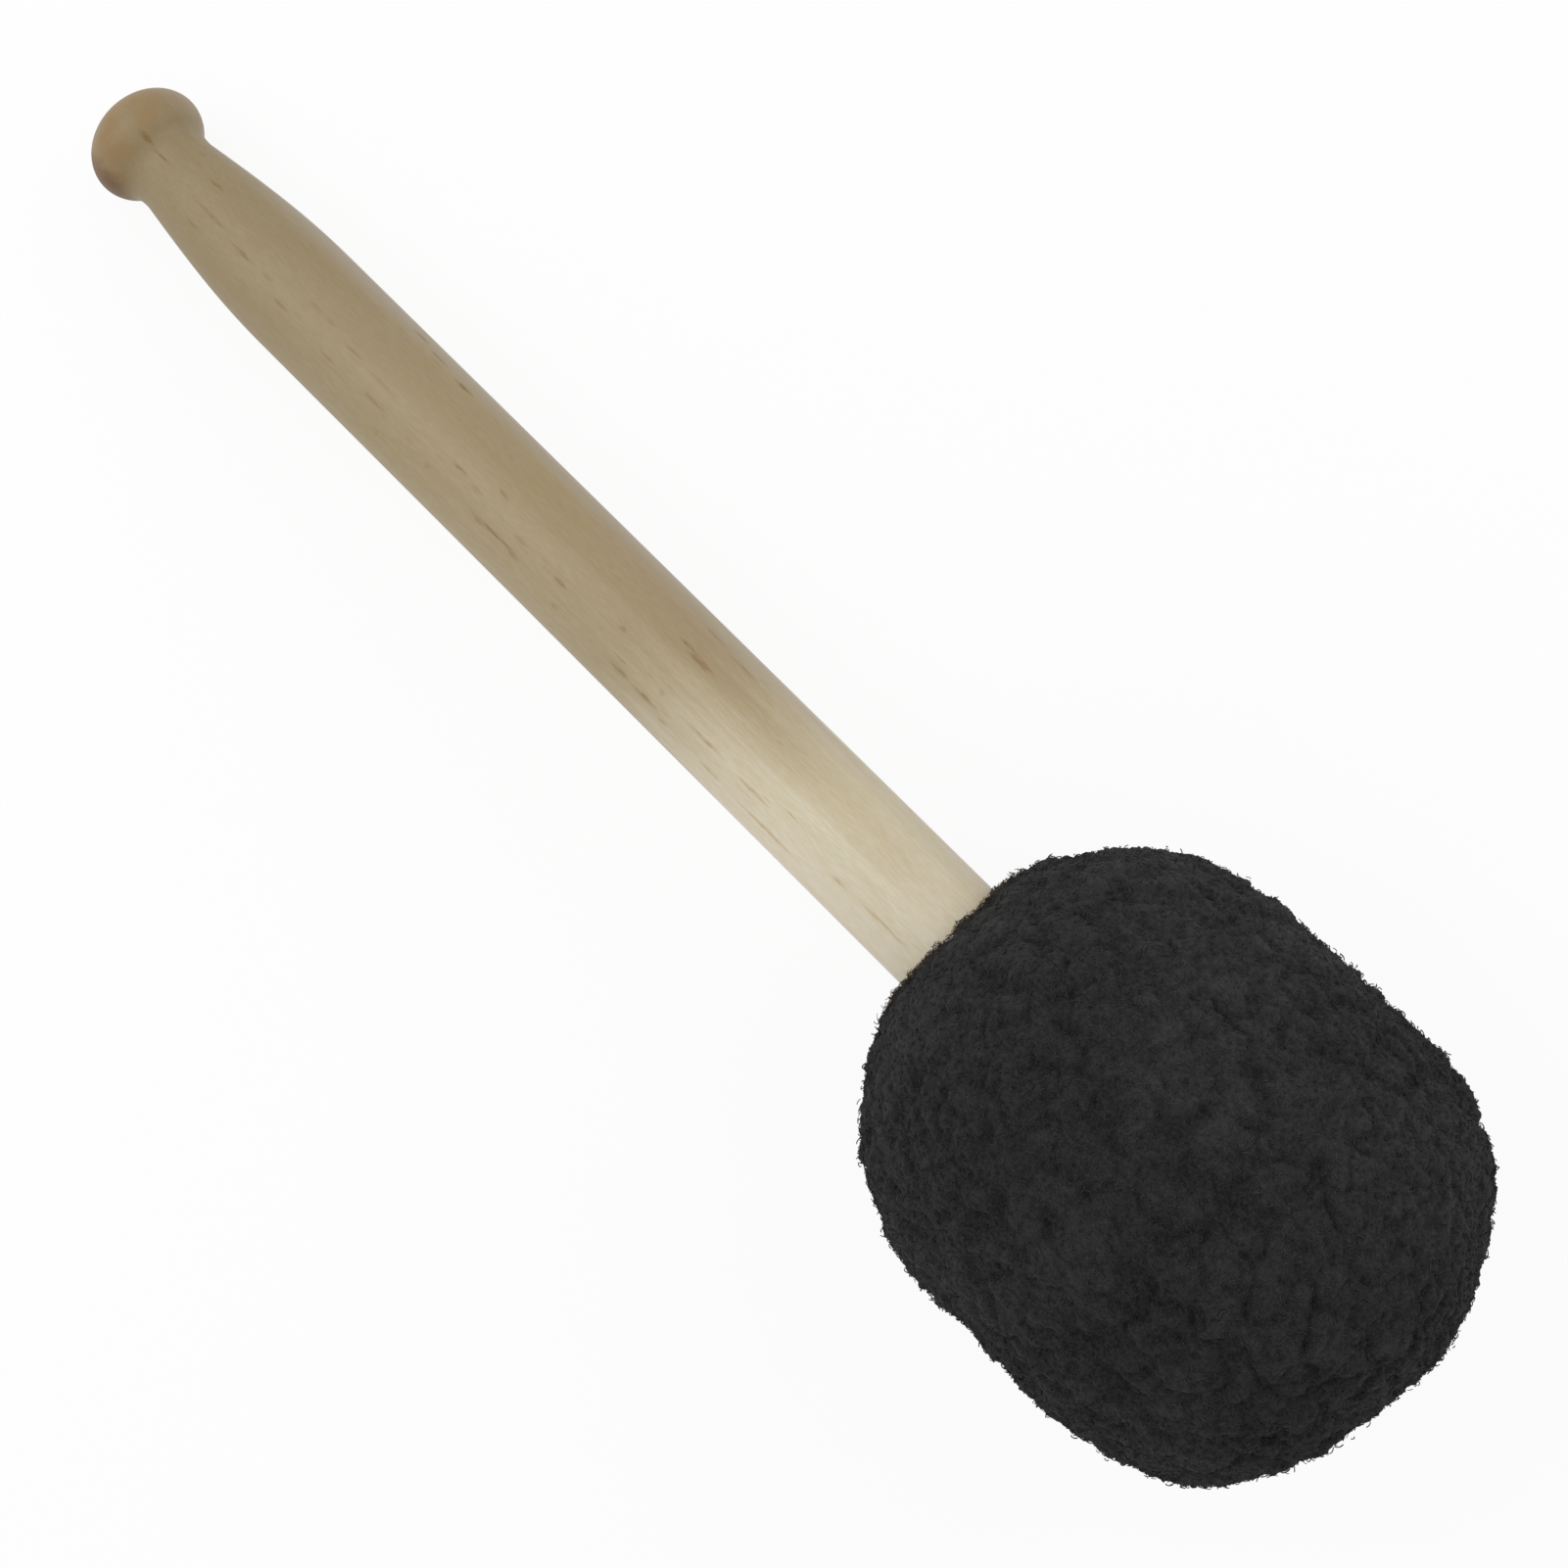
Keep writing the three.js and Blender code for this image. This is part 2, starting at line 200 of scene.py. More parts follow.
class FeltSettings(bpy.types.PropertyGroup):
    """Sizes and colours of the felt that pads the core."""

    inner_sheet: length("Inner sheet", "Thickness of the inner wrap", 6)
    outer_sheet: length("Outer sheet", "Thickness of the outer wrap", 4.9)
    skived_edge: length("Thinned edge", "What is left of a wrap's thickness at its ends", 1)
    joint: length("Joint", "Gap where a wrap's two edges meet", 2.4)
    front_disc: length("Front disc", "Thickness of the disc before the core", 6)
    edge_round: length("Edge rounding", "Rounding of a felt pad's cut edges", 0.6)
    wool: colour("Wool", "Grey of the pressed wool", 148, 146, 141)
    wool_dark: colour("Dark wool", "Darker fibres in the wool", 112, 109, 104)


class ThreadSettings(bpy.types.PropertyGroup):
    """Sizes and colours of the threads and the cord."""

    radius: length("Thread radius", "Radius of the sewing thread", 0.4)
    stitch: length("Stitch", "One full wave of a thread in its joint", 9)
    inset: length("Thread inset", "From a wrap's thinned ends to its lacing's ends", 3)
    twist: length("Twist", "Length of one turn of a thread's plies", 2.6)
    cord_radius: length("Cord radius", "Radius of the drawstring", 0.9)
    cord_inset: length("Cord inset", "From the rim of the neck to the drawstring", 4)
    knot_radius: length("Knot radius", "Radius of the drawstring's knot", 1.8)
    seam_width: length("Seam channel", "Width of the channel in which the seam's thread lies", 2.6)
    seam_depth: length("Seam depth", "Depth of the seam's channel in the cover", 1.5)
    wax: colour("Waxed thread", "Colour of the waxed thread", 44, 42, 41)


class StageSettings(bpy.types.PropertyGroup):
    """The light, the floor and the camera."""

    floor_size: length("Floor size", "Side of the floor", 6000)
    fill: amount("Fill light", "Strength of the room's even light", 0.65)
    key: amount("Key light", "Power of the broad lamp over the grip", 4.8, unit="POWER")
    rim: amount("Rim light", "Power of the lamp on the far side", 2.4, unit="POWER")
    floor: colour("Floor", "Colour of the floor", 250, 250, 250)
    lens: length("Lens", "Focal length of the camera", 56.2)
    eye_rise: length("Eye rise", "From the knob's centre up to the camera", 501.3)
    eye_forward: length("Eye forward", "From the knob's centre along the handle to the camera", 184.6)
    eye_side: length("Eye side", "From the handle's middle sideways to the camera", 1.2)
    eye_lean: slope("Eye lean", "How far the line of sight leans towards the knob", 9.604)
    roll: slope("Roll", "How far the handle is turned in the picture", 44.786)


class Wire:
    """A socket of a node tree in sums with numbers and other sockets."""

    def __init__(self, graph, socket):
        self.graph = graph
        self.socket = socket

    def output(self, name):
        """Another output of the same node."""
        return Wire(self.graph, self.socket.node.outputs[name])

    def __add__(self, other):
        return self.graph.math("ADD", self, other)

    def __sub__(self, other):
        return self.graph.math("SUBTRACT", self, other)

    def __rsub__(self, other):
        return self.graph.math("SUBTRACT", other, self)

    def __mul__(self, other):
        return self.graph.math("MULTIPLY", self, other)

    def __truediv__(self, other):
        return self.graph.math("DIVIDE", self, other)

    __radd__ = __add__
    __rmul__ = __mul__


class Graph:
    """A node tree that is written as expressions."""

    def __init__(self, tree):
        self.tree = tree
        tree.nodes.clear()

    def node(self, kind, settings=None, sockets=None, output=0):
        """Adds a node, sets it up, fills its sockets with values or wires, and returns an output."""
        made = self.tree.nodes.new(kind)
        for name, value in (settings or {}).items():
            setattr(made, name, value)
        for key, value in (sockets or {}).items():
            if isinstance(value, Wire):
                self.tree.links.new(value.socket, made.inputs[key])
            else:
                made.inputs[key].default_value = value
        return Wire(self, made.outputs[output]) if made.outputs else None

    def math(self, operation, *values):
        """A sum with numbers."""
        return self.node("ShaderNodeMath", {"operation": operation}, dict(enumerate(values)))

    def vector(self, operation, *values, output="Vector"):
        """A sum with vectors."""
        return self.node("ShaderNodeVectorMath", {"operation": operation}, dict(enumerate(values)), output)

    def axes(self, spot):
        """The height along the axis, and the places to the side and to the top."""
        height = self.node("ShaderNodeSeparateXYZ", None, {0: spot}, output="Z")
        return height, height.output("Y"), height.output("X")

    def between(self, value, low, high):
        """A smooth step from 0 at low to 1 at high."""
        settings = {"interpolation_type": "SMOOTHSTEP"}
        return self.node("ShaderNodeMapRange", settings, {"Value": value, "From Min": low, "From Max": high})

    def blend(self, share, first, second, mode="MIX"):
        """A colour between two colours."""
        settings = {"data_type": "RGBA", "blend_type": mode}
        return self.node("ShaderNodeMix", settings, {0: share, 6: tint(first), 7: tint(second)}, output=2)

    def shade(self, first, tone):
        """A colour darkened by a tone."""
        return self.blend(1.0, first, tone, mode="MULTIPLY")

    def noise(self, spot, scale, detail=2.0, roughness=0.5, distortion=0.0):
        """A cloudy value round one half."""
        sockets = {
            "Vector": spot, "Scale": scale, "Detail": detail, "Roughness": roughness, "Distortion": distortion
        }
        return self.node("ShaderNodeTexNoise", None, sockets)

    def grain(self, spot, stretch, detail=3.0, distortion=0.0):
        """Noise with its own size along each axis."""
        return self.noise(self.vector("DIVIDE", spot, stretch), 1.0, detail=detail, distortion=distortion)


def tint(value):
    """A colour setting as a socket takes it."""
    return value if isinstance(value, Wire) else (*value[:3], 1)


def new_material(name):
    """A named material and the graph of its nodes."""
    material = bpy.data.materials.new(name)
    material.use_nodes = True
    return material, Graph(material.node_tree)


def mallet_millimetres(graph):
    """The mallet's own coordinates in millimetres: X to its top, Y to its side, Z along the axis."""
    place = graph.node("ShaderNodeTexCoord", output="Object")
    sockets = {
        "Vector": place, "Location": PLACE.translation, "Rotation": PLACE.to_euler(), "Scale": (MM, MM, MM)
    }
    return graph.node("ShaderNodeMapping", {"vector_type": "TEXTURE"}, sockets)


def surface(graph, sockets, height, depth):
    """Ends a material with the main shader and a bump of a real depth in millimetres."""
    bump = graph.node("ShaderNodeBump", None, {"Height": height, "Distance": depth * MM, "Strength": 1.0})
    shader = graph.node("ShaderNodeBsdfPrincipled", None, {**sockets, "Normal": bump})
    graph.node("ShaderNodeOutputMaterial", None, {"Surface": shader})


# Marks in the grain that show on the handle's top and sides, each with its height, its angle from
# the top in degrees, its half length, its half width and its strength
GRAIN_MARKS = [
    (13.8, -4, 1.6, 0.8, 0.85), (18.2, -1, 2.8, 0.5, 0.8), (22.6, -41, 1.8, 0.6, 0.4),
    (31.2, -21, 2.2, 0.5, 0.65), (35.5, 6.2, 5.6, 0.45, 0.6), (33.4, 28, 1.7, 0.5, 0.5),
    (46.6, 10.5, 3.6, 0.5, 0.6), (54.0, 9.4, 1.6, 0.45, 0.4), (60.1, 19, 2.3, 0.45, 0.55),
    (66.0, -2.6, 2.0, 0.4, 0.45), (69.9, -2.2, 1.6, 0.4, 0.35), (74.6, 23.6, 1.9, 0.5, 0.35),
    (77.6, 2, 2.8, 0.4, 0.45), (82.6, -62, 2.2, 0.5, 0.6), (89.0, -56, 2.8, 0.5, 0.6),
    (97.2, -51, 2.6, 0.55, 0.85), (86.4, 4.9, 4.4, 0.4, 0.35), (88.0, 22, 3.7, 0.4, 0.5),
    (91.3, 43, 0.8, 0.6, 0.35), (104.3, 30, 0.8, 0.6, 0.35), (109.7, 9.4, 2.2, 0.4, 0.6),
    (115.3, 12, 1.6, 0.4, 0.3), (120.0, -2, 1.4, 0.5, 0.5), (123.5, 30.2, 6.6, 0.42, 0.7),
    (119.0, 33, 1.8, 0.45, 0.4), (129.0, 32.4, 1.6, 0.4, 0.5), (128.6, 17, 2.0, 0.4, 0.3),
    (139.8, 18.8, 1.6, 0.5, 0.6), (141.5, 41, 0.9, 0.6, 0.45), (155.4, 8.6, 0.9, 0.5, 0.5),
    (159.8, 39.4, 2.6, 0.5, 0.55), (166.8, -22, 2.8, 0.4, 0.7), (170.6, -18.5, 3.4, 0.6, 0.75),
    (168.0, -50, 4.0, 0.5, 0.45), (176.0, -46, 4.2, 0.5, 0.5), (166.8, 40.5, 3.2, 0.6, 0.65),
    (169.0, 25.5, 0.9, 0.5, 0.4), (172.6, 47, 1.4, 0.4, 0.35), (181.4, 27.8, 4.8, 0.4, 0.55),
    (195.0, 30.4, 4.2, 0.4, 0.6), (185.8, 48.8, 2.8, 0.4, 0.5), (200.9, 51, 7.8, 0.42, 0.6),
    (218.4, 33.8, 1.9, 0.45, 0.5), (230.4, 32.2, 6.4, 0.32, 0.5), (227.0, 33, 2.6, 0.34, 0.5),
]


# How far a mark spreads past its half length and half width, and the reach of the warm wood round it
MARK_SPREAD = (1.2, 1.3)
HALO_REACH = 3.2


def grain_marks(graph, spot):
    """The listed marks, narrow and a little crooked, and the warm wood round them: from 0 outside to 1."""
    height, side, top = graph.axes(spot)
    turned_by = graph.math("ARCTAN2", side, top)
    crooked = graph.grain(spot, (0.8, 0.8, 3), detail=2.0) - 0.5
    arc = turned_by * (HANDLE.outer / MM) + crooked * 0.6
    flat = graph.node("ShaderNodeCombineXYZ", None, {0: height + crooked * 2, 1: arc})
    marks, warm = 0.0, 0.0
    for height, degrees, half_length, half_width, strength in GRAIN_MARKS:
        centre = (height, math.radians(degrees) * HANDLE.outer / MM, 0)
        reach = (half_length * MARK_SPREAD[0], half_width * MARK_SPREAD[1], 1)
        scaled = graph.vector("DIVIDE", graph.vector("SUBTRACT", flat, centre), reach)
        away = graph.vector("LENGTH", scaled, output="Value")
        marks = graph.math("MAXIMUM", marks, (1 - graph.between(away, 0.2, 1.15)) * strength)
        halo = graph.math("MULTIPLY_ADD", away, -strength / HALO_REACH, strength)
        warm = graph.math("MAXIMUM", warm, halo)
    return marks, warm


def flecks(graph, spot, size, width, share):
    """Short dashes along the axis, each with its own length and strength: from 0 outside to 1."""
    grid = graph.vector("DIVIDE", spot, (width, width, size))
    cells = graph.node("ShaderNodeTexVoronoi", {"feature": "F1"}, {"Vector": grid, "Scale": 1.0})
    draw = graph.node("ShaderNodeSeparateColor", None, {0: cells.output("Color")})
    chosen = graph.math("LESS_THAN", draw, share)
    reach = 0.12 + 0.24 * draw.output("Green")
    strength = 0.35 + 0.65 * draw.output("Blue")
    return chosen * strength * (1 - graph.between(cells / reach, 0.2, 1.0))


# Tones that darken the wood in its warm places, along its dark lines and in the painted shade on the grip,
# and the tone of the painted shade along one side
WARM_TONE = (0.93, 0.89, 0.78)
LINE_AND_SHADE_TONE = (0.82, 0.74, 0.60)
PAINTED_SHADE_TONE = (0.90, 0.88, 0.84)
# The length over which the warm heart ends where the wood turns pale
HEART_FADE = 20.0


def handle_wood(look):
    """Pale hardwood: tan at the grip and pale at the head, with grain lines and brown marks, and with painted
    light and shade: a painted grey reflection and painted shade along one side, and painted light along the
    other side and near the neck, with painted shade on that other side of the grip and the knob.

    Its places are in millimetres: the height along the axis, and the side from the side of the painted
    reflection below zero to the side of the painted light above it.
    """
    material, graph = new_material("handle_wood")
    between, blend = graph.between, graph.blend
    spot = mallet_millimetres(graph)
    height, side, _ = graph.axes(spot)
    wander = graph.grain(spot, (5, 5, 60)) - 0.5
    across = side + 5 * wander

    # The grip's wood is darker towards the knob.
    grip_tone = 1 - between(height, -20.0, look.handled_reach / MM)
    wood = blend(grip_tone, look.heartwood, look.grip_tone)
    lean = graph.math("MAXIMUM", graph.math("MINIMUM", side - 3.0, 0.0), -9.0) * 1.7
    lean = lean + 2.2 * graph.math("MAXIMUM", -7.0 - side, 0.0)
    edge = height + lean + 34 * wander
    start = look.pale_from / MM
    pale = between(edge, start, start + look.pale_reach / MM)
    band = between(across, -9.0, -4.0) * (1 - between(across, 0.2, 1.4))
    wood = blend(pale, wood, blend(band, look.sapwood, look.golden))
    # Painted light: a paler band along one side of the pale wood, where the lamps leave that side dim.
    painted_light = between(across, 3.0, 9.0) * between(height, 85.0, 130.0) * (0.06 + 0.76 * pale * pale)
    # Painted light: the wood near the neck is lightened against the shadow that the head casts on it.
    painted_neck_light = between(height, 218.0, 242.0) * 0.85
    wood = blend(graph.math("MAXIMUM", painted_light, painted_neck_light), wood, look.painted_light)

    warm = graph.shade(wood, WARM_TONE)
    golden = graph.grain(spot, (2.6, 2.6, 22), detail=4.0)
    wood = blend(between(golden, 0.4, 0.64) * 0.35, wood, warm)
    heart = between(across, -12.0, -7.0) * (1 - between(across, -4.5, 0.5))
    heart = heart * between(height, 70.0, 110.0) * (1 - between(edge, start, start + HEART_FADE))
    wood = blend(heart * 0.4, wood, warm)
    dark_line_and_shade = graph.shade(wood, LINE_AND_SHADE_TONE)
    lines = graph.grain(spot, (0.55, 0.55, 32), distortion=0.15)
    wood = blend(between(lines, 0.55, 0.72) * 0.3, wood, dark_line_and_shade)
    fibres = graph.grain(spot, (0.24, 0.24, 2.6))
    wood = blend(between(fibres, 0.35, 0.7) * 0.46, wood, dark_line_and_shade)
    mottle = graph.grain(spot, (2.2, 2.2, 4))
    wood = blend(between(mottle, 0.4, 0.62) * 0.3, wood, warm)

    # Painted shade: the side of the painted reflection is darkened.
    wood = blend(1 - between(across, -8.0, 4.0), wood, graph.shade(wood, PAINTED_SHADE_TONE))
    # Painted reflection: a grey band along one side of the shaft, fainter in the pale wood.
    painted_reflection = (1 - between(across, -13.0, -7.5)) * (1 - 0.6 * pale)
    wood = blend(painted_reflection * 0.6, wood, look.reflection_grey)
    # Painted shade: the grip near the knob is darkened along the side of the painted light.
    painted_shade_on_grip = between(side, 5.0, 12.0) * (1 - between(height, 30.0, 85.0))
    wood = blend(painted_shade_on_grip * 0.5, wood, dark_line_and_shade)
    blush = graph.noise(spot, 0.16, detail=3.0)
    near_knob = 1 - between(height + 5 * blush, 14.5, 18.5)
    warmer = between(blush + 0.014 * side, 0.42, 0.6)
    wood = blend(near_knob * (0.35 + 0.65 * warmer), wood, look.knob_blush)
    # Painted shade: one side of the knob is darkened brown.
    knob_shadow_side = between(side + 8 * (blush - 0.5), 7.0, 11.0) * near_knob
    wood = blend(knob_shadow_side * 0.8, wood, look.knob_shade)

    streaks = 0.25 + 0.75 * between(graph.grain(spot, (0.2, 0.2, 2.0)), 0.38, 0.56)
    stray = flecks(graph, spot, 9.0, 0.9, 0.05) * 0.6
    dashes = flecks(graph, spot, 5.0, 0.7, 0.2) * 0.45
    marks, halo = grain_marks(graph, spot)
    wood = blend(halo * 0.6, wood, warm)
    marks = graph.math("MAXIMUM", marks, graph.math("MAXIMUM", stray, dashes)) * streaks
    wood = blend(marks, wood, blend(pale, look.fleck, look.pale_fleck))

    sockets = {
        "Base Color": wood, "Roughness": 0.46 + 0.12 * fibres, "Specular IOR Level": 0.35,
        "Coat Weight": 0.08, "Coat Roughness": 0.4,
    }
    surface(graph, sockets, fibres * 0.6 + lines * 0.4 - marks * 0.5, 0.05)
    return material


def core_wood():
    """Unfinished softwood with wide growth rings."""
    material, graph = new_material("core_wood")
    spot = mallet_millimetres(graph)
    heart = graph.vector("ADD", spot, (38.0, 14.0, 0.0))
    rings = graph.node(
        "ShaderNodeTexWave", {"wave_type": "RINGS", "rings_direction": "Z"},
        {"Vector": heart, "Scale": 0.09, "Distortion": 1.2, "Detail": 2.0, "Detail Scale": 0.2},
    )
    fibres = graph.grain(spot, (0.3, 0.3, 12), detail=2.0)
    wood = graph.blend(rings, linear(196, 166, 122), linear(160, 122, 80))
    wood = graph.blend(fibres * 0.3, wood, linear(142, 106, 70))
    surface(graph, {"Base Color": wood, "Roughness": 0.6 + 0.2 * fibres}, rings * 0.4 + fibres * 0.6, 0.08)
    return material


def wool_felt(look):
    """Dense pressed wool with loose darker fibres."""
    material, graph = new_material("wool_felt")
    spot = mallet_millimetres(graph)
    clouds = graph.noise(spot, 0.35, detail=4.0)
    fibres = graph.noise(spot, 2.6, detail=5.0, roughness=0.7, distortion=1.6)
    wool = graph.blend(clouds * 0.5 + graph.between(fibres, 0.45, 0.7) * 0.5, look.wool, look.wool_dark)
    surface(graph, {"Base Color": wool, "Roughness": 0.86 + 0.1 * fibres}, fibres, 0.25)
    return material


def curly_fleece(name, dark, light):
    """Near-black pile with the grain of its fibres and painted shade: lighter on its tufts and darker between
    them, darker towards the striking end and towards one side.
    """
    material, graph = new_material(name)
    spot = mallet_millimetres(graph)
    fibres = graph.noise(spot, 1.5, detail=3.0, roughness=0.7, distortion=1.2)
    patches = graph.noise(spot, 0.035, detail=2.0)
    tops = graph.node("ShaderNodeAttribute", {"attribute_name": PILE_SHADE}, output="Fac")
    # Painted shade: lighter on the tufts and darker in the valleys and folds between them.
    share = graph.between(fibres, 0.36, 0.64) * 0.48 + tops * 0.34 + 0.12
    share = share + graph.between(patches, 0.38, 0.62) * 0.14
    height, side, _ = graph.axes(spot)
    # Painted shade: the pile is darkened towards the striking end and towards one side.
    share = share - graph.between(height, 270.0, 345.0) * 0.13 - graph.between(side, -45.0, 45.0) * 0.1
    sockets = {
        "Base Color": graph.blend(share, dark, light), "Roughness": 0.9 + 0.08 * fibres,
        "Specular IOR Level": 0.2, "Sheen Weight": 0.02, "Sheen Roughness": 0.5,
    }
    surface(graph, sockets, fibres, 0.3)
    return material


def waxed_thread(look):
    """Dark waxed thread with the grain of its twisted fibres."""
    material, graph = new_material("waxed_thread")
    spot = mallet_millimetres(graph)
    fibres = graph.grain(spot, (0.12, 0.12, 0.8))
    wax = graph.blend(fibres, look.wax, linear(70, 67, 64))
    surface(graph, {"Base Color": wax, "Roughness": 0.5 + 0.2 * fibres}, fibres, 0.05)
    return material


def zinc_steel():
    """Plain steel with the fine turning marks of a stamped washer and a rolled screw."""
    material, graph = new_material("zinc_steel")
    spot = mallet_millimetres(graph)
    marks = graph.grain(spot, (1.4, 1.4, 0.12))
    stains = graph.noise(spot, 0.5, detail=3.0)
    steel = graph.blend(stains, linear(188, 190, 192), linear(162, 164, 168))
    surface(graph, {"Base Color": steel, "Metallic": 1.0, "Roughness": 0.28 + 0.16 * marks}, marks, 0.02)
    return material


def shares(steps):
    """Evenly spread shares from 0 to 1."""
    return [step / steps for step in range(steps + 1)]


def turned(outline, steps, closed=False, angle=FULL_TURN, start_angle=0.0):
    """Spins an outline of (radius, height) points about the axis."""
    bm = bmesh.new()
    vertices = [bm.verts.new((radius, 0, height)) for radius, height in outline]
    edges = [bm.edges.new(pair) for pair in zip(vertices, vertices[1:])]
    if closed:
        edges.append(bm.edges.new((vertices[-1], vertices[0])))
    bmesh.ops.rotate(bm, verts=bm.verts, cent=(0, 0, 0), matrix=Matrix.Rotation(start_angle, 3, "Z"))
    whole = angle == FULL_TURN
    bmesh.ops.spin(
        bm, geom=vertices + edges, cent=(0, 0, 0), axis=(0, 0, 1), angle=angle, steps=steps, use_merge=whole
    )
    if not whole:
        rims = [edge for edge in bm.edges if len(edge.link_faces) == 1]
        bmesh.ops.holes_fill(bm, edges=rims, sides=0)
    bmesh.ops.remove_doubles(bm, verts=bm.verts, dist=MERGE_DISTANCE)
    bmesh.ops.recalc_face_normals(bm, faces=bm.faces)
    return bm


def put_in_order(bm):
    """Sorts points, edges and faces by height and angle, so that each run makes the same mesh."""
    def order(item):
        spots = getattr(item, "verts", [item])
        middle = sum((spot.co for spot in spots), Vector()) / len(spots)
        return round(middle.z / MERGE_DISTANCE) * 10 + math.atan2(middle.y, middle.x)

    for items in (bm.verts, bm.edges, bm.faces):
        items.sort(key=order)
        items.index_update()


def mesh_from(bm, name):
    """A named mesh of what was modelled."""
    mesh = bpy.data.meshes.new(name)
    bm.to_mesh(mesh)
    bm.free()
    return mesh


def show(mesh, name):
    """Puts a mesh or a curve in the scene as an object."""
    obj = bpy.data.objects.new(name, mesh)
    bpy.context.scene.collection.objects.link(obj)
    return obj


def soften_edges(bm, size):
    """Rounds every edge that is sharper than a smooth surface."""
    bmesh.ops.recalc_face_normals(bm, faces=bm.faces)
    bm.normal_update()
    edges = [edge for edge in bm.edges if edge.calc_face_angle(0) > SHARP_EDGE]
    bmesh.ops.bevel(bm, geom=edges, offset=size, segments=2, profile=0.5, affect="EDGES", material=-1)


def add_piece(name, bm, material, stands_for, sharp=SHARP_EDGE):
    """Puts a mesh that is drawn along the axis in its place, as a named piece with its finish."""
    bmesh.ops.transform(bm, matrix=PLACE, verts=bm.verts)
    mesh = mesh_from(bm, name)
    mesh.materials.append(material)
    mesh.shade_smooth()
    mesh.set_sharp_from_angle(angle=sharp)
    obj = show(mesh, name)
    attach(obj, BODY)
    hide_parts(stands_for)
    return obj


HANDLE_STEPS = 112
KNOB_STEPS = 26
CREASE_STEPS = 10
CREASE_CORNER = 0.86
SWELL_STEPS = 26
SHAFT_STEPS = 24


def round_crease(points, height, reach):
    """Draws the outline through a crease in one soft bend."""
    first = max(index for index, point in enumerate(points) if point[1] < height - reach)
    last = min(index for index, point in enumerate(points) if point[1] > height + reach)
    start, end = Vector(points[first]), Vector(points[last])
    corner = Vector((start.x + (end.x - start.x) * CREASE_CORNER, height))
    bend = [
        tuple(start * (1 - share) ** 2 + corner * 2 * share * (1 - share) + end * share**2)
        for share in shares(CREASE_STEPS)[1:-1]
    ]
    return points[: first + 1] + bend + points[last:]


def handle_outline(look):
    """The handle from the knob's tip to the tenon, and back down the pilot hole to its point."""
    rod = HANDLE.outer
    crease = look.waist_radius + look.crease_rise
    crease_angle = math.pi - math.asin(crease / rod)
    waist = look.knob_half + look.waist_reach
    crease_height = look.knob_half * (1 - math.cos(crease_angle))
    shoulder = CORE.start - FIT
    points = []
    for share in shares(2 * KNOB_STEPS):
        angle = share * crease_angle
        points.append((rod * math.sin(angle), look.knob_half * (1 - math.cos(angle))))
    for share in shares(KNOB_STEPS)[1:]:
        fall = look.crease_rise * math.sin(share * QUARTER_TURN)
        points.append((crease - fall, crease_height + (waist - crease_height) * share))
    points = round_crease(points, crease_height, look.crease_fillet)
    for share in shares(SWELL_STEPS)[1:]:
        rise = (rod - look.waist_radius) * math.sin(share * QUARTER_TURN)
        points.append((look.waist_radius + rise, waist + look.swell_length * share))
    swell_end = waist + look.swell_length
    points += [(rod, swell_end + (shoulder - swell_end) * share) for share in shares(SHAFT_STEPS)[1:]]
    tenon = [
        (look.tenon_radius, shoulder),
        (look.tenon_radius, HANDLE.end - look.tenon_chamfer),
        (look.tenon_radius - look.tenon_chamfer, HANDLE.end),
        (look.screw_radius, HANDLE.end),
        (look.screw_radius, SCREW.start - FIT + look.screw_tip),
        (0, SCREW.start - FIT),
    ]
    return points + tenon


class MALLET_OT_handle(bpy.types.Operator):
    """Turns the handle from one rod of pale hardwood"""

    bl_idname = "mallet.handle"
    bl_label = "Handle"

    def execute(self, context):
        look = context.scene.mallet_handle
        bm = turned(handle_outline(look), HANDLE_STEPS)
        add_piece("turned_handle", bm, handle_wood(look), "handle")
        return {"FINISHED"}


class MALLET_OT_core(bpy.types.Operator):
    """Gives the wooden core, its washer and its screw their finishes"""

    bl_idname = "mallet.core"
    bl_label = "Core and screw"

    def execute(self, context):
        steel = zinc_steel()
        finishes = {"core": core_wood(), "core_washer": steel, "core_screw": steel}
        for node, material in finishes.items():
            mesh = frame["nodes"][node].data
            mesh.materials.clear()
            mesh.materials.append(material)
        return {"FINISHED"}


# How full a rounded end is: 2 for an ellipse, more for a squarer one
ROUNDNESS = 2.18


def end_radius(depth, reach, radius):
    """The radius of a rounded end at a depth in from its tip."""
    share = 1 - min(max(depth, 0) / reach, 1)
    return radius * (1 - share**ROUNDNESS) ** (1 / ROUNDNESS)


def end_depth(reached, reach, radius):
    """The depth at which a rounded end has grown to a radius."""
    share = min(reached / radius, 1)
    return reach * (1 - (1 - share**ROUNDNESS) ** (1 / ROUNDNESS))


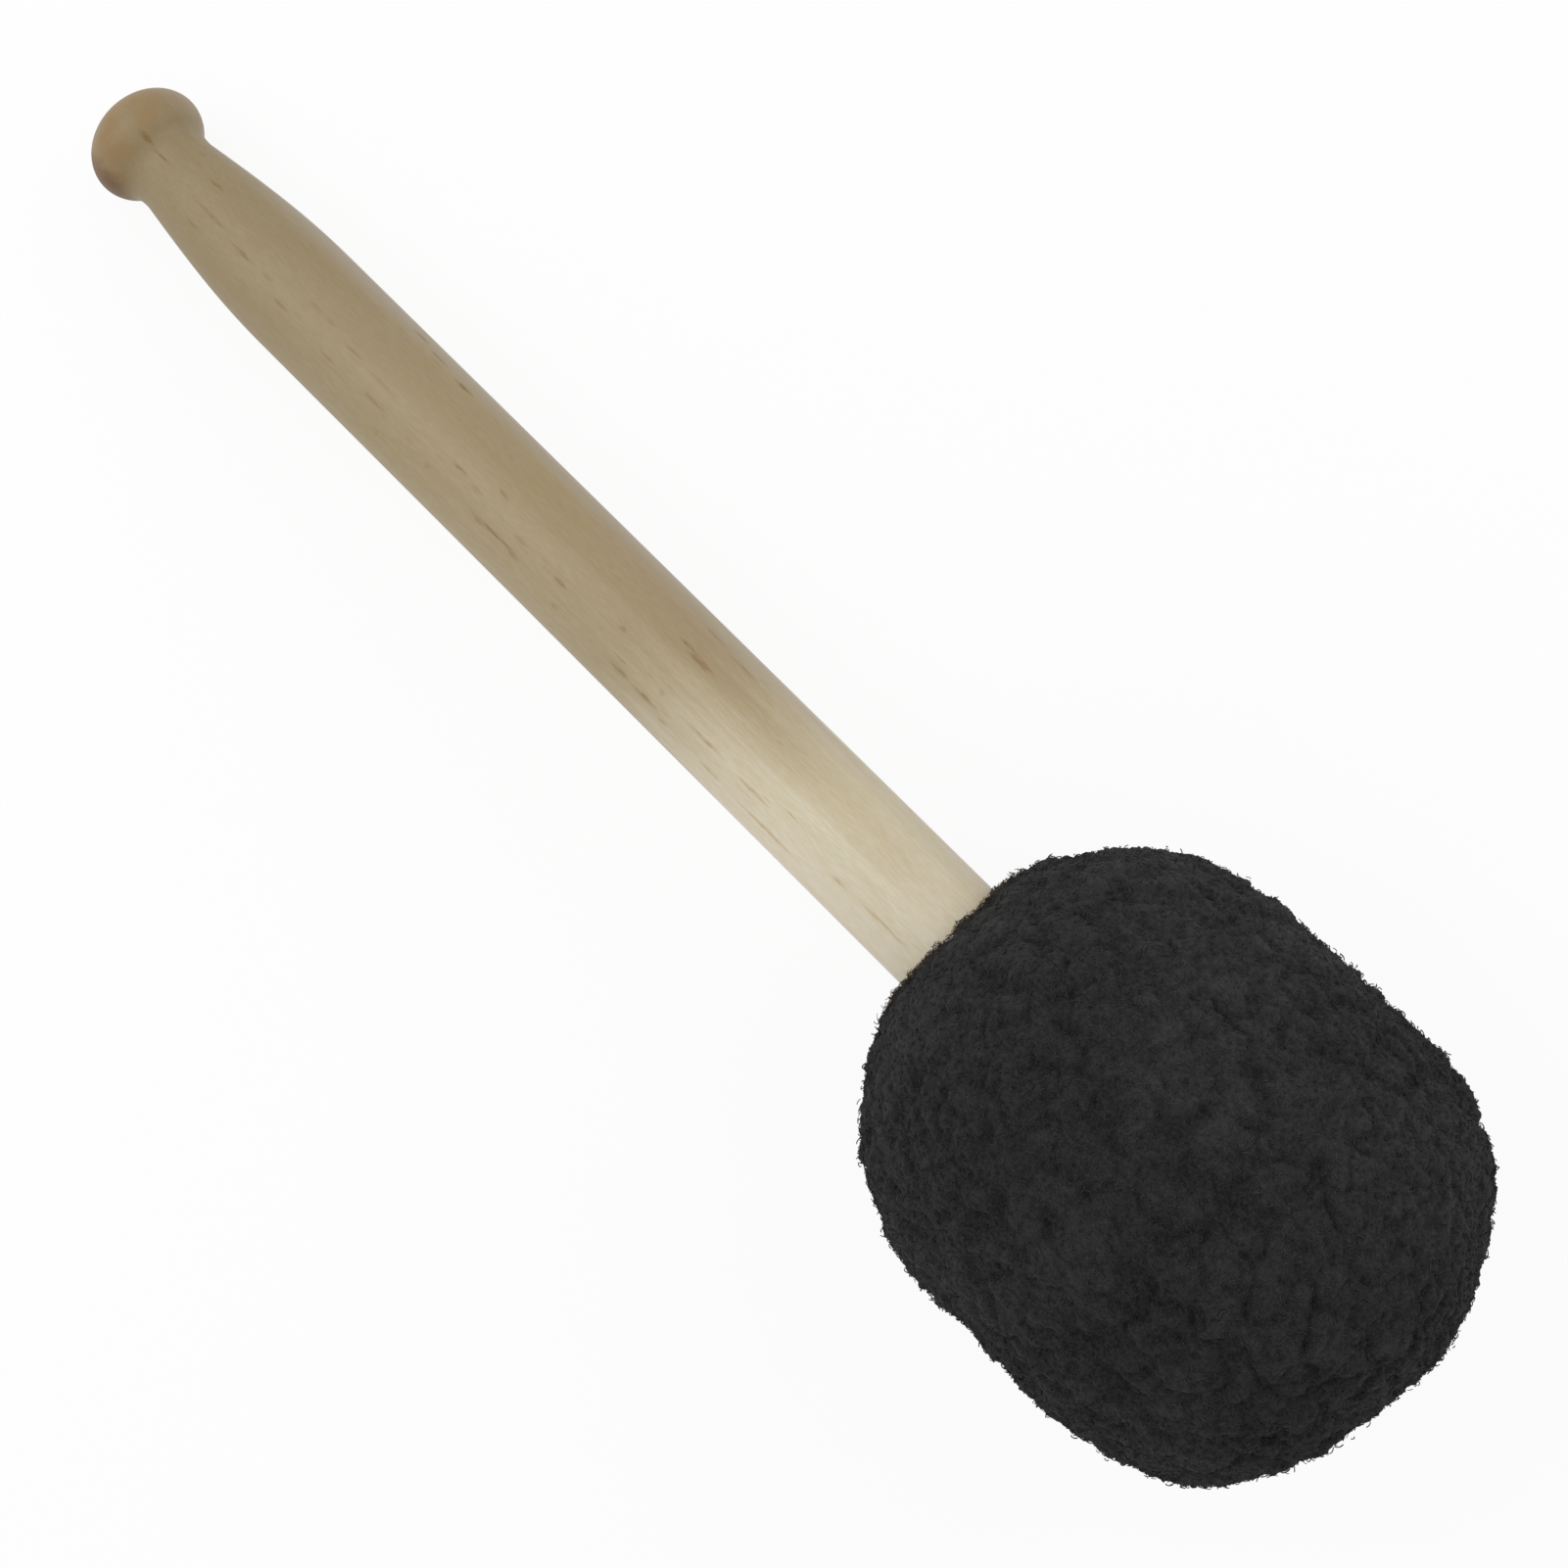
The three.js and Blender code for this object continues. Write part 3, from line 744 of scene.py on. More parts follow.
class Head:
    """The head's rounded form, drawn an inset inside the cover's outline."""

    def __init__(self, look, inset=0.0):
        neck = HANDLE.outer + FIT
        self.radius = COVER.outer - inset
        self.rear = COVER.start - end_depth(neck, look.rear_round, COVER.outer) + inset
        self.front = COVER.end - inset
        self.rear_round = look.rear_round - inset
        self.front_round = look.front_round - inset

    def radius_at(self, height):
        rear = end_radius(height - self.rear, self.rear_round, self.radius)
        front = end_radius(self.front - height, self.front_round, self.radius)
        return min(rear, front)

    def reach_of(self, radius):
        """The two heights between which the form is wider than a radius."""
        rear = self.rear + end_depth(radius, self.rear_round, self.radius)
        front = self.front - end_depth(radius, self.front_round, self.radius)
        return rear, front

    def outline(self, start_radius, step):
        """Points about a step apart, from a radius on the rear end to the front tip."""
        share = end_depth(start_radius, self.rear_round, self.radius) / self.rear_round
        start = math.acos(1 - share)
        points = []
        count = round((QUARTER_TURN - start) * self.radius / step)
        for share in shares(count):
            angle = start + (QUARTER_TURN - start) * share
            depth = self.rear_round * (1 - math.cos(angle))
            points.append((end_radius(depth, self.rear_round, self.radius), self.rear + depth))
        first, last = self.rear + self.rear_round, self.front - self.front_round
        count = round((last - first) / step)
        points += [(self.radius, first + (last - first) * share) for share in shares(count)[1:]]
        count = round(QUARTER_TURN * self.radius / step)
        for share in shares(count)[1:]:
            depth = self.front_round * (1 - math.sin(QUARTER_TURN * share))
            points.append((end_radius(depth, self.front_round, self.radius), self.front - depth))
        points[-1] = (0, self.front)
        return points


PAD_STEP = 1.4 * MM
PAD_TURN_STEPS = 120
UNEVEN_SIZE = 7
UNEVEN_DEPTH = 0.2
INNER_JOINT_ANGLE = math.pi
OUTER_JOINT_ANGLE = 0.0


def pad_outline(form, inner, outer, start, end):
    """The section of a pad between two radii and two heights, as far as the head's form leaves room."""
    count = max(round((outer - inner) / PAD_STEP), 3)
    rear, front = [], []
    for share in shares(count):
        radius = inner + (outer - inner) * share
        low, high = form.reach_of(radius)
        rear.append((radius, max(low, start)))
        front.append((radius, min(high, end)))
    return rear + front[::-1]


def press_uneven(bm):
    """Draws a pad's surface in here and there, as pressed wool is."""
    bm.normal_update()
    for vertex in bm.verts:
        depth = (0.5 + 0.5 * noise.noise(vertex.co / MM / UNEVEN_SIZE)) * UNEVEN_DEPTH * MM
        vertex.co -= vertex.normal * depth


class MALLET_OT_felt(bpy.types.Operator):
    """Fills the cover round the core with pads and wraps of pressed wool"""

    bl_idname = "mallet.felt"
    bl_label = "Felt pads and wraps"

    def execute(self, context):
        look = context.scene.mallet_felt
        cover = context.scene.mallet_cover
        form = Head(cover, cover.thickness + FIT)
        wool = wool_felt(look)
        core, neck, outer = CORE.outer, HANDLE.outer + FIT, outer_wrap_radius(look)
        ring_end = CORE.start - FIT
        disc_end = CORE.end + FIT + look.front_disc
        ring = pad_outline(form, neck, min(core, form.radius_at(ring_end)), form.rear, ring_end)
        disc = pad_outline(form, 0, core, CORE.end + FIT, disc_end)
        dome = pad_outline(form, 0, core, disc_end + FIT, form.front)
        pads = [
            ("rear_felt_pad", "rear_felt_ring", turned(ring, PAD_TURN_STEPS, closed=True)),
            ("front_felt_pad", "front_felt_disc", turned(disc, PAD_TURN_STEPS)),
            ("front_felt_crown", "front_felt_dome", turned(dome, PAD_TURN_STEPS)),
            ("inner_felt_sheet", "inner_felt_wrap",
             self.wrap(form, core + FIT, look.inner_sheet, INNER_JOINT_ANGLE, look)),
            ("outer_felt_sheet", "outer_felt_wrap",
             self.wrap(form, outer, look.outer_sheet, OUTER_JOINT_ANGLE, look)),
        ]
        for name, node, bm in pads:
            soften_edges(bm, look.edge_round)
            press_uneven(bm)
            pad = add_piece(name, bm, wool, node)
        return {"FINISHED"}

    def wrap(self, form, radius, thickness, joint_angle, look):
        """A felt sheet bent round the axis, with its thinned ends and its open joint."""
        start, end = form.reach_of(radius + look.skived_edge)
        outline = pad_outline(form, radius, radius + thickness, start, end)
        gap = look.joint / radius
        return turned(
            outline, PAD_TURN_STEPS, closed=True, angle=FULL_TURN - gap, start_angle=joint_angle + gap / 2
        )


PLIES = 3
PLY_STEPS = 12
SEAM_ANGLE = math.pi / 2
KNOT_ANGLE = math.pi / 3
KNOT_DEPTH = 1.6
KNOT_STEPS = 72


def around(angle, radius, across, height):
    """A point at a radius from the axis in the direction of an angle, and a distance across it."""
    out = Vector((math.cos(angle), math.sin(angle), 0))
    return out * radius + Vector((-out.y, out.x, 0)) * across + Vector((0, 0, height))


def strand(curve, points, cyclic=False):
    """Adds a ply through a row of points."""
    spline = curve.splines.new("POLY")
    spline.points.add(len(points) - 1)
    for target, point in zip(spline.points, points):
        target.co = (*point, 1)
    spline.use_cyclic_u = cyclic


def tube_curve(name, radius):
    """An empty curve that has the thickness of one ply."""
    curve = bpy.data.curves.new(name, "CURVE")
    curve.dimensions = "3D"
    curve.bevel_depth = radius
    curve.bevel_resolution = 1
    curve.use_fill_caps = True
    return curve


def curve_to_bmesh(curve):
    """The curve's tubes as a mesh, with the curve itself taken away."""
    obj = show(curve, curve.name)
    mesh = bpy.data.meshes.new_from_object(obj)
    bpy.data.objects.remove(obj)
    bm = bmesh.new()
    bm.from_mesh(mesh)
    bmesh.ops.recalc_face_normals(bm, faces=bm.faces)
    return bm


def ply_sizes(radius):
    """The radius of one ply, and how far it lies from the middle of its thread."""
    share = 1 / (1 + 2 / math.sqrt(3))
    return radius * share, radius * (1 - share)


class MALLET_OT_threads(bpy.types.Operator):
    """Lays the plied threads in the felt's joints and the cover's seam, and the drawstring in the neck"""

    bl_idname = "mallet.threads"
    bl_label = "Threads and drawstring"

    def execute(self, context):
        look = context.scene.mallet_thread
        felt = context.scene.mallet_felt
        cover = context.scene.mallet_cover
        wax = waxed_thread(look)
        form = Head(cover, cover.thickness + FIT)
        inner, outer = CORE.outer + FIT, outer_wrap_radius(felt)
        joints = [("inner_felt", inner, INNER_JOINT_ANGLE), ("outer_felt", outer, OUTER_JOINT_ANGLE)]
        for name, radius, angle in joints:
            reach = form.reach_of(radius + felt.skived_edge)
            lace = self.lacing(look, lambda height, bed=radius: bed, reach, felt.joint, angle)
            add_piece(name + "_lace", lace, wax, name + "_lacing")
        hollow = Head(cover, cover.thickness)
        seam = self.lacing(look, hollow.radius_at, hollow.reach_of(outer), look.seam_width, SEAM_ANGLE)
        add_piece("cover_seam_lace", seam, wax, "cover_seam_thread")
        add_piece("neck_drawstring_cord", self.drawstring(look), wax, "neck_drawstring")
        return {"FINISHED"}

    def lacing(self, look, bed, reach, width, angle):
        """A thread of twisted plies that lies on its bed and wavers from side to side of its joint."""
        first, last = reach[0] + look.inset, reach[1] - look.inset
        waves = max(round((last - first) / look.stitch), 1)
        sway = width / 2 - look.radius - FIT
        ply_radius, offset = ply_sizes(look.radius)
        curve = tube_curve("lacing", ply_radius)
        steps = round((last - first) / look.twist * PLY_STEPS)
        for ply in range(PLIES):
            points = []
            for share in shares(steps):
                height = first + (last - first) * share
                across = sway * math.sin(share * waves * FULL_TURN)
                turn = (ply / PLIES + (last - first) * share / look.twist) * FULL_TURN
                out = bed(height) + FIT + look.radius + offset * math.cos(turn)
                points.append(around(angle, out, across + offset * math.sin(turn), height))
            strand(curve, points)
        return curve_to_bmesh(curve)

    def drawstring(self, look):
        """The cord of twisted plies round the neck, and its knot."""
        neck = HANDLE.outer + FIT
        height = cord_height(look)
        ring = neck + look.cord_radius
        ply_radius, offset = ply_sizes(look.cord_radius)
        curve = tube_curve("drawstring", ply_radius)
        turns = round(FULL_TURN * ring / (2 * look.twist))
        for ply in range(PLIES):
            points = []
            for share in shares(turns * PLY_STEPS)[:-1]:
                turn = (ply / PLIES + turns * share) * FULL_TURN
                out = ring + offset * math.cos(turn)
                points.append(around(share * FULL_TURN, out, 0, height + offset * math.sin(turn)))
            strand(curve, points, cyclic=True)
        strand(curve, self.knot(look, neck, height, ply_radius), cyclic=True)
        return curve_to_bmesh(curve)

    def knot(self, look, neck, height, ply_radius):
        """The path of an overhand knot that is drawn tight within its ball."""
        size = (look.knot_radius - ply_radius) / 3
        points = []
        for share in shares(KNOT_STEPS)[:-1]:
            turn = share * FULL_TURN
            wide = size * (math.sin(turn) + 2 * math.sin(2 * turn))
            tall = size * (math.cos(turn) - 2 * math.cos(2 * turn))
            deep = -KNOT_DEPTH * size * math.sin(3 * turn)
            points.append(around(KNOT_ANGLE, neck + look.knot_radius + deep, wide, height + tall))
        return points


def cord_height(look):
    """The height of the drawstring in the neck's hem."""
    return COVER.start + look.cord_inset


def outer_wrap_radius(felt):
    """The radius at which the outer felt wrap begins."""
    return CORE.outer + FIT + felt.inner_sheet + FIT


class MALLET_OT_cover(bpy.types.Operator):
    """Makes the fleece cover: a bag of curly pile, pressed flat where it lies"""

    bl_idname = "mallet.cover"
    bl_label = "Fleece cover"

    def execute(self, context):
        look = context.scene.mallet_cover
        fleece = curly_fleece("curly_fleece", look.pile_dark, look.pile_light)
        bag = pile_skin(look)
        tips = curly_fleece("fleece_curl_tips", look.curl_dark, look.curl_light)
        fringe = curly_fleece("fleece_fringe", look.fringe_dark, look.fringe_light)
        grow_curls(look, bag, tips, fringe)
        line_bag(bag, Lining(look, context.scene.mallet_felt, context.scene.mallet_thread))
        cover = add_piece("fleece_cover_pile", bag, fleece, "fleece_cover", sharp=math.pi)
        return {"FINISHED"}


BAG_STEP = 4.8 * MM
PILE_SEED = 10
FINE_CUTS = 3
STUFFING_SCALE = 10
STUFFING_SEED = 125
STUFFING_PRESSURE = 20
STUFFING_FRAMES = 20
TIGHT_SIZE = 16
TIGHT_SHRINK = 0.03
LOOSE_GROWTH = 0.03

# The pile's relief in millimetres: how its lumps melt into each other, and what bends their edges,
# each bend with its size and its reach
LUMP_MELT = 9
LUMP_REACH = 0.75
BENDS = [(6, 2.2), (2.2, 0.7)]
SWELL_SIZE = 12
SWELL_HEIGHT = 0.7
FOLD_SIZE = 15
FOLD_WIDTH = 0.2
FOLD_DEPTH = 0.7
LUMP_HEIGHT = 1.4
TUFT_HEIGHT = 0.7
REST_SHARE = 0.6
GRAIN_SIZE = 1.1
GRAIN_HEIGHT = 0.45

# How much of a place's painted shade its lump gives, the rest being its tuft's, and how much a fold takes
LUMP_SHADE = 0.6
FOLD_SHADE = 0.6
NECK_CLEARANCE = 0.15 * MM
TABLE_CLEARANCE = 0.02 * MM


def lump(point, size):
    """A rounded lump's height, from 0 in the valleys to 1 on top, with the valleys rounded too."""
    distances = noise.voronoi(point / size)[0]
    nearest = -math.log(sum(math.exp(-LUMP_MELT * distance) for distance in distances)) / LUMP_MELT
    return min(max(1 - (max(nearest, 0) / LUMP_REACH) ** 2, 0), 1)


def pile_height(point, look):
    """How far the knotted pile stands over its rest at a point, and its painted shade, which follows its
    share of the full height and is low in the valleys and folds.
    """
    wander = sum((noise.noise_vector(point / size) * reach for size, reach in BENDS), Vector())
    swell = noise.noise(point / SWELL_SIZE) * SWELL_HEIGHT
    fold = 1 - min(abs(noise.noise((point + wander) / FOLD_SIZE)) / FOLD_WIDTH, 1)
    lumps = lump(point + wander, look.lump / MM)
    tufts = lump(point + wander, look.tuft / MM)
    grain = noise.noise(point / GRAIN_SIZE) * GRAIN_HEIGHT
    knots = lumps * LUMP_HEIGHT + tufts * TUFT_HEIGHT
    rest = (LUMP_HEIGHT + TUFT_HEIGHT) * REST_SHARE
    height = swell + knots + grain - fold**2 * FOLD_DEPTH - rest
    # Painted shade of the pile: lighter on its lumps and tufts, darker in its valleys and folds.
    top = (LUMP_SHADE * lumps + (1 - LUMP_SHADE) * tufts) * (1 - FOLD_SHADE * fold**2)
    return height * MM, top


def keep_clear(point, seat):
    """Moves a point of the pile off the table and off the handle."""
    radius = math.hypot(point.x, point.y)
    least = HANDLE.outer + NECK_CLEARANCE
    if radius < least and point.z < COVER.end - COVER.outer:
        point.x *= least / radius
        point.y *= least / radius
    placed = PLACE @ point
    if placed.z < TABLE_CLEARANCE:
        placed.z = TABLE_CLEARANCE
        point = seat @ placed
    return point


def sewn_bag(look):
    """The cover's outline as it is sewn, open at the neck, leaning a little and full at the front."""
    head = Head(look)
    steps = round(FULL_TURN * head.radius / BAG_STEP)
    bm = turned(head.outline(HANDLE.outer + FIT, BAG_STEP), steps)
    for vertex in bm.verts:
        share = (vertex.co.z - head.rear) / (head.front - head.rear)
        vertex.co.y += look.lean * min(share * 4, 1) * (1 - share)
        vertex.co.z += look.front_fill * max(2 * share - 1, 0) ** 3
    put_in_order(bm)
    return bm


def stuff_bag(bm, look):
    """Swells the bag as cloth under pressure, more where it is loose than where it is tight."""
    bm.normal_update()
    sewn = [vertex.co.copy() for vertex in bm.verts]
    rim = [vertex.index for vertex in bm.verts if vertex.is_boundary]
    for vertex in bm.verts:
        if not vertex.is_boundary:
            vertex.co -= vertex.normal * look.slack
    bmesh.ops.scale(bm, vec=(STUFFING_SCALE,) * 3, verts=bm.verts)
    mesh = bpy.data.meshes.new("bag_cloth")
    bm.to_mesh(mesh)
    cloth = show(mesh, "bag_cloth")
    cloth.vertex_groups.new(name="held").add(rim, 1.0, "REPLACE")
    tight = cloth.vertex_groups.new(name="tight")
    draw = Vector((0, 0, STUFFING_SEED * 10))
    for index, point in enumerate(sewn):
        tight.add([index], 0.5 + noise.noise(point / MM / TIGHT_SIZE + draw), "REPLACE")
    modifier = cloth.modifiers.new("stuffing", "CLOTH")
    fabric = modifier.settings
    fabric.vertex_group_mass = "held"
    fabric.vertex_group_shrink = "tight"
    fabric.shrink_min = -LOOSE_GROWTH
    fabric.shrink_max = TIGHT_SHRINK
    fabric.use_pressure = True
    fabric.uniform_pressure_force = STUFFING_PRESSURE
    fabric.effector_weights.gravity = 0
    for number in range(1, STUFFING_FRAMES + 1):
        bpy.context.scene.frame_set(number)
    stuffed = cloth.evaluated_get(bpy.context.evaluated_depsgraph_get()).data
    for vertex, start in zip(bm.verts, sewn):
        move = stuffed.vertices[vertex.index].co / STUFFING_SCALE - start
        if move.length > look.swell_limit:
            move.length = look.swell_limit
        vertex.co = start + move
    bpy.data.objects.remove(cloth)
    bpy.context.scene.frame_set(1)


def pile_skin(look):
    """The cover's outside with its lumps and tufts, open at the neck."""
    bm = sewn_bag(look)
    stuff_bag(bm, look)
    bmesh.ops.subdivide_edges(bm, edges=bm.edges, cuts=1, use_grid_fill=True, smooth=1.0)
    bmesh.ops.subdivide_edges(bm, edges=bm.edges, cuts=FINE_CUTS, use_grid_fill=True, smooth=1.0)
    bm.normal_update()
    seat = PLACE.inverted()
    noise.seed_set(PILE_SEED)
    # Each point keeps the pile's painted shade for the fleece materials.
    tops = bm.verts.layers.float.new(PILE_SHADE)
    for vertex in bm.verts:
        height, vertex[tops] = pile_height(vertex.co / MM, look)
        offset = height - look.pile_rest
        vertex.co = keep_clear(vertex.co + vertex.normal * offset, seat)
    bm.normal_update()
    return bm


class Lining:
    """The bag's inner wall, with its groove for the drawstring and its channel for the seam's thread."""

    def __init__(self, look, felt, thread):
        self.thread = thread
        self.neck = HANDLE.outer + FIT
        self.hollow = Head(look, look.thickness)
        self.half = thread.cord_radius + FIT
        self.groove = self.neck + thread.cord_radius + self.half
        self.cord = cord_height(thread)
        self.seam = self.hollow.reach_of(outer_wrap_radius(felt))

    def rings(self):
        """The wall's rings as (radius, height), from the neck's rim to the front."""
        low, high = self.cord - self.half, self.cord + self.half
        hem = [(self.neck, low), (self.groove, low), (self.groove, high), (self.neck, high)]
        return hem + self.hollow.outline(self.neck, BAG_STEP)

    def place(self, angle, radius, height):
        """A point of a ring, moved out for the drawstring's knot or for the seam's thread."""
        if height < self.hollow.rear:
            ball = self.thread.knot_radius
            across = math.remainder(angle - KNOT_ANGLE, FULL_TURN) * (self.neck + ball)
            pocket = math.sqrt(max((ball + FIT) ** 2 - across**2, 0))
            if radius > self.neck:
                radius = max(radius, self.neck + ball + pocket)
            height = self.cord + math.copysign(max(self.half, pocket), height - self.cord)
        across = math.remainder(angle - SEAM_ANGLE, FULL_TURN) * radius
        if self.seam[0] < height < self.seam[1] and abs(across) < self.thread.seam_width / 2 + FIT:
            radius += self.thread.seam_depth
        return around(angle, radius, 0, height)


def line_bag(bm, lining):
    """Closes the bag with its inner wall, drawn in from the neck's rim ring by ring."""
    rim = [edge for edge in bm.edges if len(edge.link_faces) == 1]
    for radius, height in lining.rings():
        made = bmesh.ops.extrude_edge_only(bm, edges=rim)["geom"]
        ring = {item for item in made if isinstance(item, bmesh.types.BMVert)}
        rim = [item for item in made if isinstance(item, bmesh.types.BMEdge)]
        rim = [edge for edge in rim if all(vertex in ring for vertex in edge.verts)]
        for vertex in ring:
            vertex.co = lining.place(math.atan2(vertex.co.y, vertex.co.x), radius, height)
    bmesh.ops.remove_doubles(bm, verts=bm.verts, dist=MERGE_DISTANCE)
    bmesh.ops.recalc_face_normals(bm, faces=bm.faces)


CURL_SIDES = 3
CURL_STEPS = 6
CURL_TILT = 0.6
CURL_SMALLEST = 0.65
CURL_LARGEST = 1.25
CURL_SEED = 11
FRINGE_SEED = 29
# Each kind of curl: turns, radius, rise and thickness, in millimetres
CURL_KINDS = [
    (0.55, 0.5, 0.15, 0.22), (0.8, 0.36, 0.2, 0.2), (0.3, 0.8, 0.25, 0.22), (1.0, 0.3, 0.3, 0.19),
    (0.2, 1.1, 0.2, 0.2),
]
CURL_BANDS = ["neck", "rear", "rear_side", "middle", "front_side", "front", "crown"]
FRINGE_KINDS = [(0.5, 0.45, 0.7, 0.12), (0.3, 0.8, 0.6, 0.12), (0.9, 0.3, 0.8, 0.12), (0.25, 1.2, 0.5, 0.12)]
FRINGE_REACH = 1.6 * MM
FRINGE_GAP = 0.4 * MM


def curl_shape(name, turns, radius, rise, thickness):
    """One curl of the pile: a short coil of fibre."""
    bm = bmesh.new()
    bmesh.ops.create_circle(bm, cap_ends=True, segments=CURL_SIDES, radius=thickness * MM / 2)
    bmesh.ops.rotate(bm, verts=bm.verts, cent=(0, 0, 0), matrix=Matrix.Rotation(QUARTER_TURN, 3, "X"))
    bmesh.ops.translate(bm, verts=bm.verts, vec=(radius * MM, 0, 0))
    bmesh.ops.spin(
        bm, geom=bm.faces, cent=(0, 0, 0), axis=(0, 0, 1), dvec=(0, 0, rise * MM / CURL_STEPS),
        angle=turns * FULL_TURN, steps=CURL_STEPS,
    )
    bmesh.ops.recalc_face_normals(bm, faces=bm.faces)
    mesh = mesh_from(bm, name)
    mesh.shade_smooth()
    return bpy.data.objects.new(name, mesh)


def scatter_tree(curls, gap, seed):
    """A node group that plants curls on a skin, each turned and sized at random."""
    tree = bpy.data.node_groups.new("curl_scatter", "GeometryNodeTree")
    graph = Graph(tree)
    tree.interface.new_socket("Geometry", in_out="INPUT", socket_type="NodeSocketGeometry")
    tree.interface.new_socket("Geometry", in_out="OUTPUT", socket_type="NodeSocketGeometry")
    skin = graph.node("NodeGroupInput")
    points = graph.node(
        "GeometryNodeDistributePointsOnFaces", {"distribute_method": "POISSON"},
        {"Mesh": skin, "Distance Min": gap, "Density Max": 4 / gap**2, "Seed": seed},
    )
    spin = graph.node(
        "FunctionNodeRandomValue", {"data_type": "FLOAT_VECTOR"},
        {0: (-CURL_TILT, -CURL_TILT, -math.pi), 1: (CURL_TILT, CURL_TILT, math.pi), "Seed": seed + 1},
    )
    turn = graph.node("FunctionNodeEulerToRotation", None, {0: spin})
    rotation = graph.node(
        "FunctionNodeRotateRotation", {"rotation_space": "LOCAL"},
        {"Rotation": points.output("Rotation"), "Rotate By": turn},
    )
    size = graph.node(
        "FunctionNodeRandomValue", {"data_type": "FLOAT"},
        {2: CURL_SMALLEST, 3: CURL_LARGEST, "Seed": seed + 2}, output=1,
    )
    kinds = graph.node(
        "GeometryNodeCollectionInfo", {"transform_space": "ORIGINAL"},
        {"Collection": curls, "Separate Children": True, "Reset Children": True},
    )
    placed = graph.node(
        "GeometryNodeInstanceOnPoints", None,
        {"Points": points, "Instance": kinds, "Pick Instance": True, "Rotation": rotation, "Scale": size},
    )
    real = graph.node("GeometryNodeRealizeInstances", None, {"Geometry": placed})
    graph.node("NodeGroupOutput", None, {0: real})
    return tree


def grow_band(name, bag, low, high, kinds, gap, seed, fleece):
    """Plants curls on the bag between two heights, as one piece."""
    curls = bpy.data.collections.new("curl_kinds")
    for number, kind in enumerate(kinds):
        curls.objects.link(curl_shape(f"curl_kind_{number}", *kind))
    part = bag.copy()
    outside = [face for face in part.faces if not low <= face.calc_center_median().z < high]
    bmesh.ops.delete(part, geom=outside, context="FACES")
    skin = show(mesh_from(part, "curl_ground"), "curl_ground")
    scatter = skin.modifiers.new("curls", "NODES")
    scatter.node_group = scatter_tree(curls, gap, seed)
    graph = bpy.context.evaluated_depsgraph_get()
    pile = bpy.data.meshes.new_from_object(skin.evaluated_get(graph))
    bpy.data.objects.remove(skin)
    seat = PLACE.inverted()
    bm = bmesh.new()
    bm.from_mesh(pile)
    for vertex in bm.verts:
        vertex.co = keep_clear(vertex.co, seat)
    add_piece(name, bm, fleece, "fleece_cover", sharp=math.pi)
    for obj in list(curls.objects):
        bpy.data.objects.remove(obj)
    bpy.data.collections.remove(curls)


def grow_curls(look, bag, tips, fringe):
    """Plants curls all over the bag, in bands along the axis, and loose fibres round its neck."""
    reach = (COVER.end - COVER.start) / len(CURL_BANDS)
    cuts = [COVER.start + number * reach for number in range(1, len(CURL_BANDS))]
    limits = zip([-math.inf, *cuts], [*cuts, math.inf])
    for number, (band, (low, high)) in enumerate(zip(CURL_BANDS, limits)):
        seed = CURL_SEED + number
        grow_band("fleece_curls_" + band, bag, low, high, CURL_KINDS, look.curl_gap, seed, tips)
    rim = COVER.start + FRINGE_REACH
    grow_band("fleece_neck_fringe", bag, -math.inf, rim, FRINGE_KINDS, FRINGE_GAP, FRINGE_SEED, fringe)


# Each lamp's place in the room and the side of its square, in metres
KEY_LAMP = (Vector((-0.7, -0.25, 1.0)), 0.9)
RIM_LAMP = (Vector((0.15, 1.0, 0.6)), 0.8)
FLOOR_WHITENESS = 0.9


class MALLET_OT_stage(bpy.types.Operator):
    """Sets the floor, the lamps and the camera"""

    bl_idname = "mallet.stage"
    bl_label = "Stage"

    def execute(self, context):
        look = context.scene.mallet_stage
        context.scene.view_settings.view_transform = "Standard"
        add_floor(look)
        set_room_light(look)
        add_lamp("key_lamp", look.key, *KEY_LAMP)
        add_lamp("rim_lamp", look.rim, *RIM_LAMP)
        add_camera(look)
        return {"FINISHED"}


def seen_directly(graph):
    """1 for rays from the camera and for mirror and glass rays, and 0 for the light on the object."""
    path = graph.node("ShaderNodeLightPath", output="Is Camera Ray")
    gloss = graph.math("MAXIMUM", path.output("Is Glossy Ray"), path.output("Is Transmission Ray"))
    return graph.math("MAXIMUM", path, gloss)


def add_floor(look):
    """A pale floor that shows white and keeps a soft shadow."""
    bm = bmesh.new()
    bmesh.ops.create_grid(bm, x_segments=1, y_segments=1, size=look.floor_size / 2)
    floor = show(mesh_from(bm, "floor"), "floor")
    material, graph = new_material("pale_floor")
    matt = graph.node("ShaderNodeBsdfDiffuse", None, {"Color": tint(look.floor)})
    white = graph.node("ShaderNodeEmission", None, {"Color": (1, 1, 1, 1), "Strength": 1.0})
    share = seen_directly(graph) * FLOOR_WHITENESS
    shown = graph.node("ShaderNodeMixShader", None, {0: share, 1: matt, 2: white})
    graph.node("ShaderNodeOutputMaterial", None, {"Surface": shown})
    floor.data.materials.append(material)


def set_room_light(look):
    """An even room light, with white behind everything."""
    world = bpy.data.worlds.new("studio")
    world.use_nodes = True
    graph = Graph(world.node_tree)
    light = graph.node("ShaderNodeBackground", None, {"Color": (1, 1, 1, 1), "Strength": look.fill})
    white = graph.node("ShaderNodeBackground", None, {"Color": (1, 1, 1, 1), "Strength": 1.0})
    shown = graph.node("ShaderNodeMixShader", None, {0: seen_directly(graph), 1: light, 2: white})
    graph.node("ShaderNodeOutputWorld", None, {"Surface": shown})
    bpy.context.scene.world = world


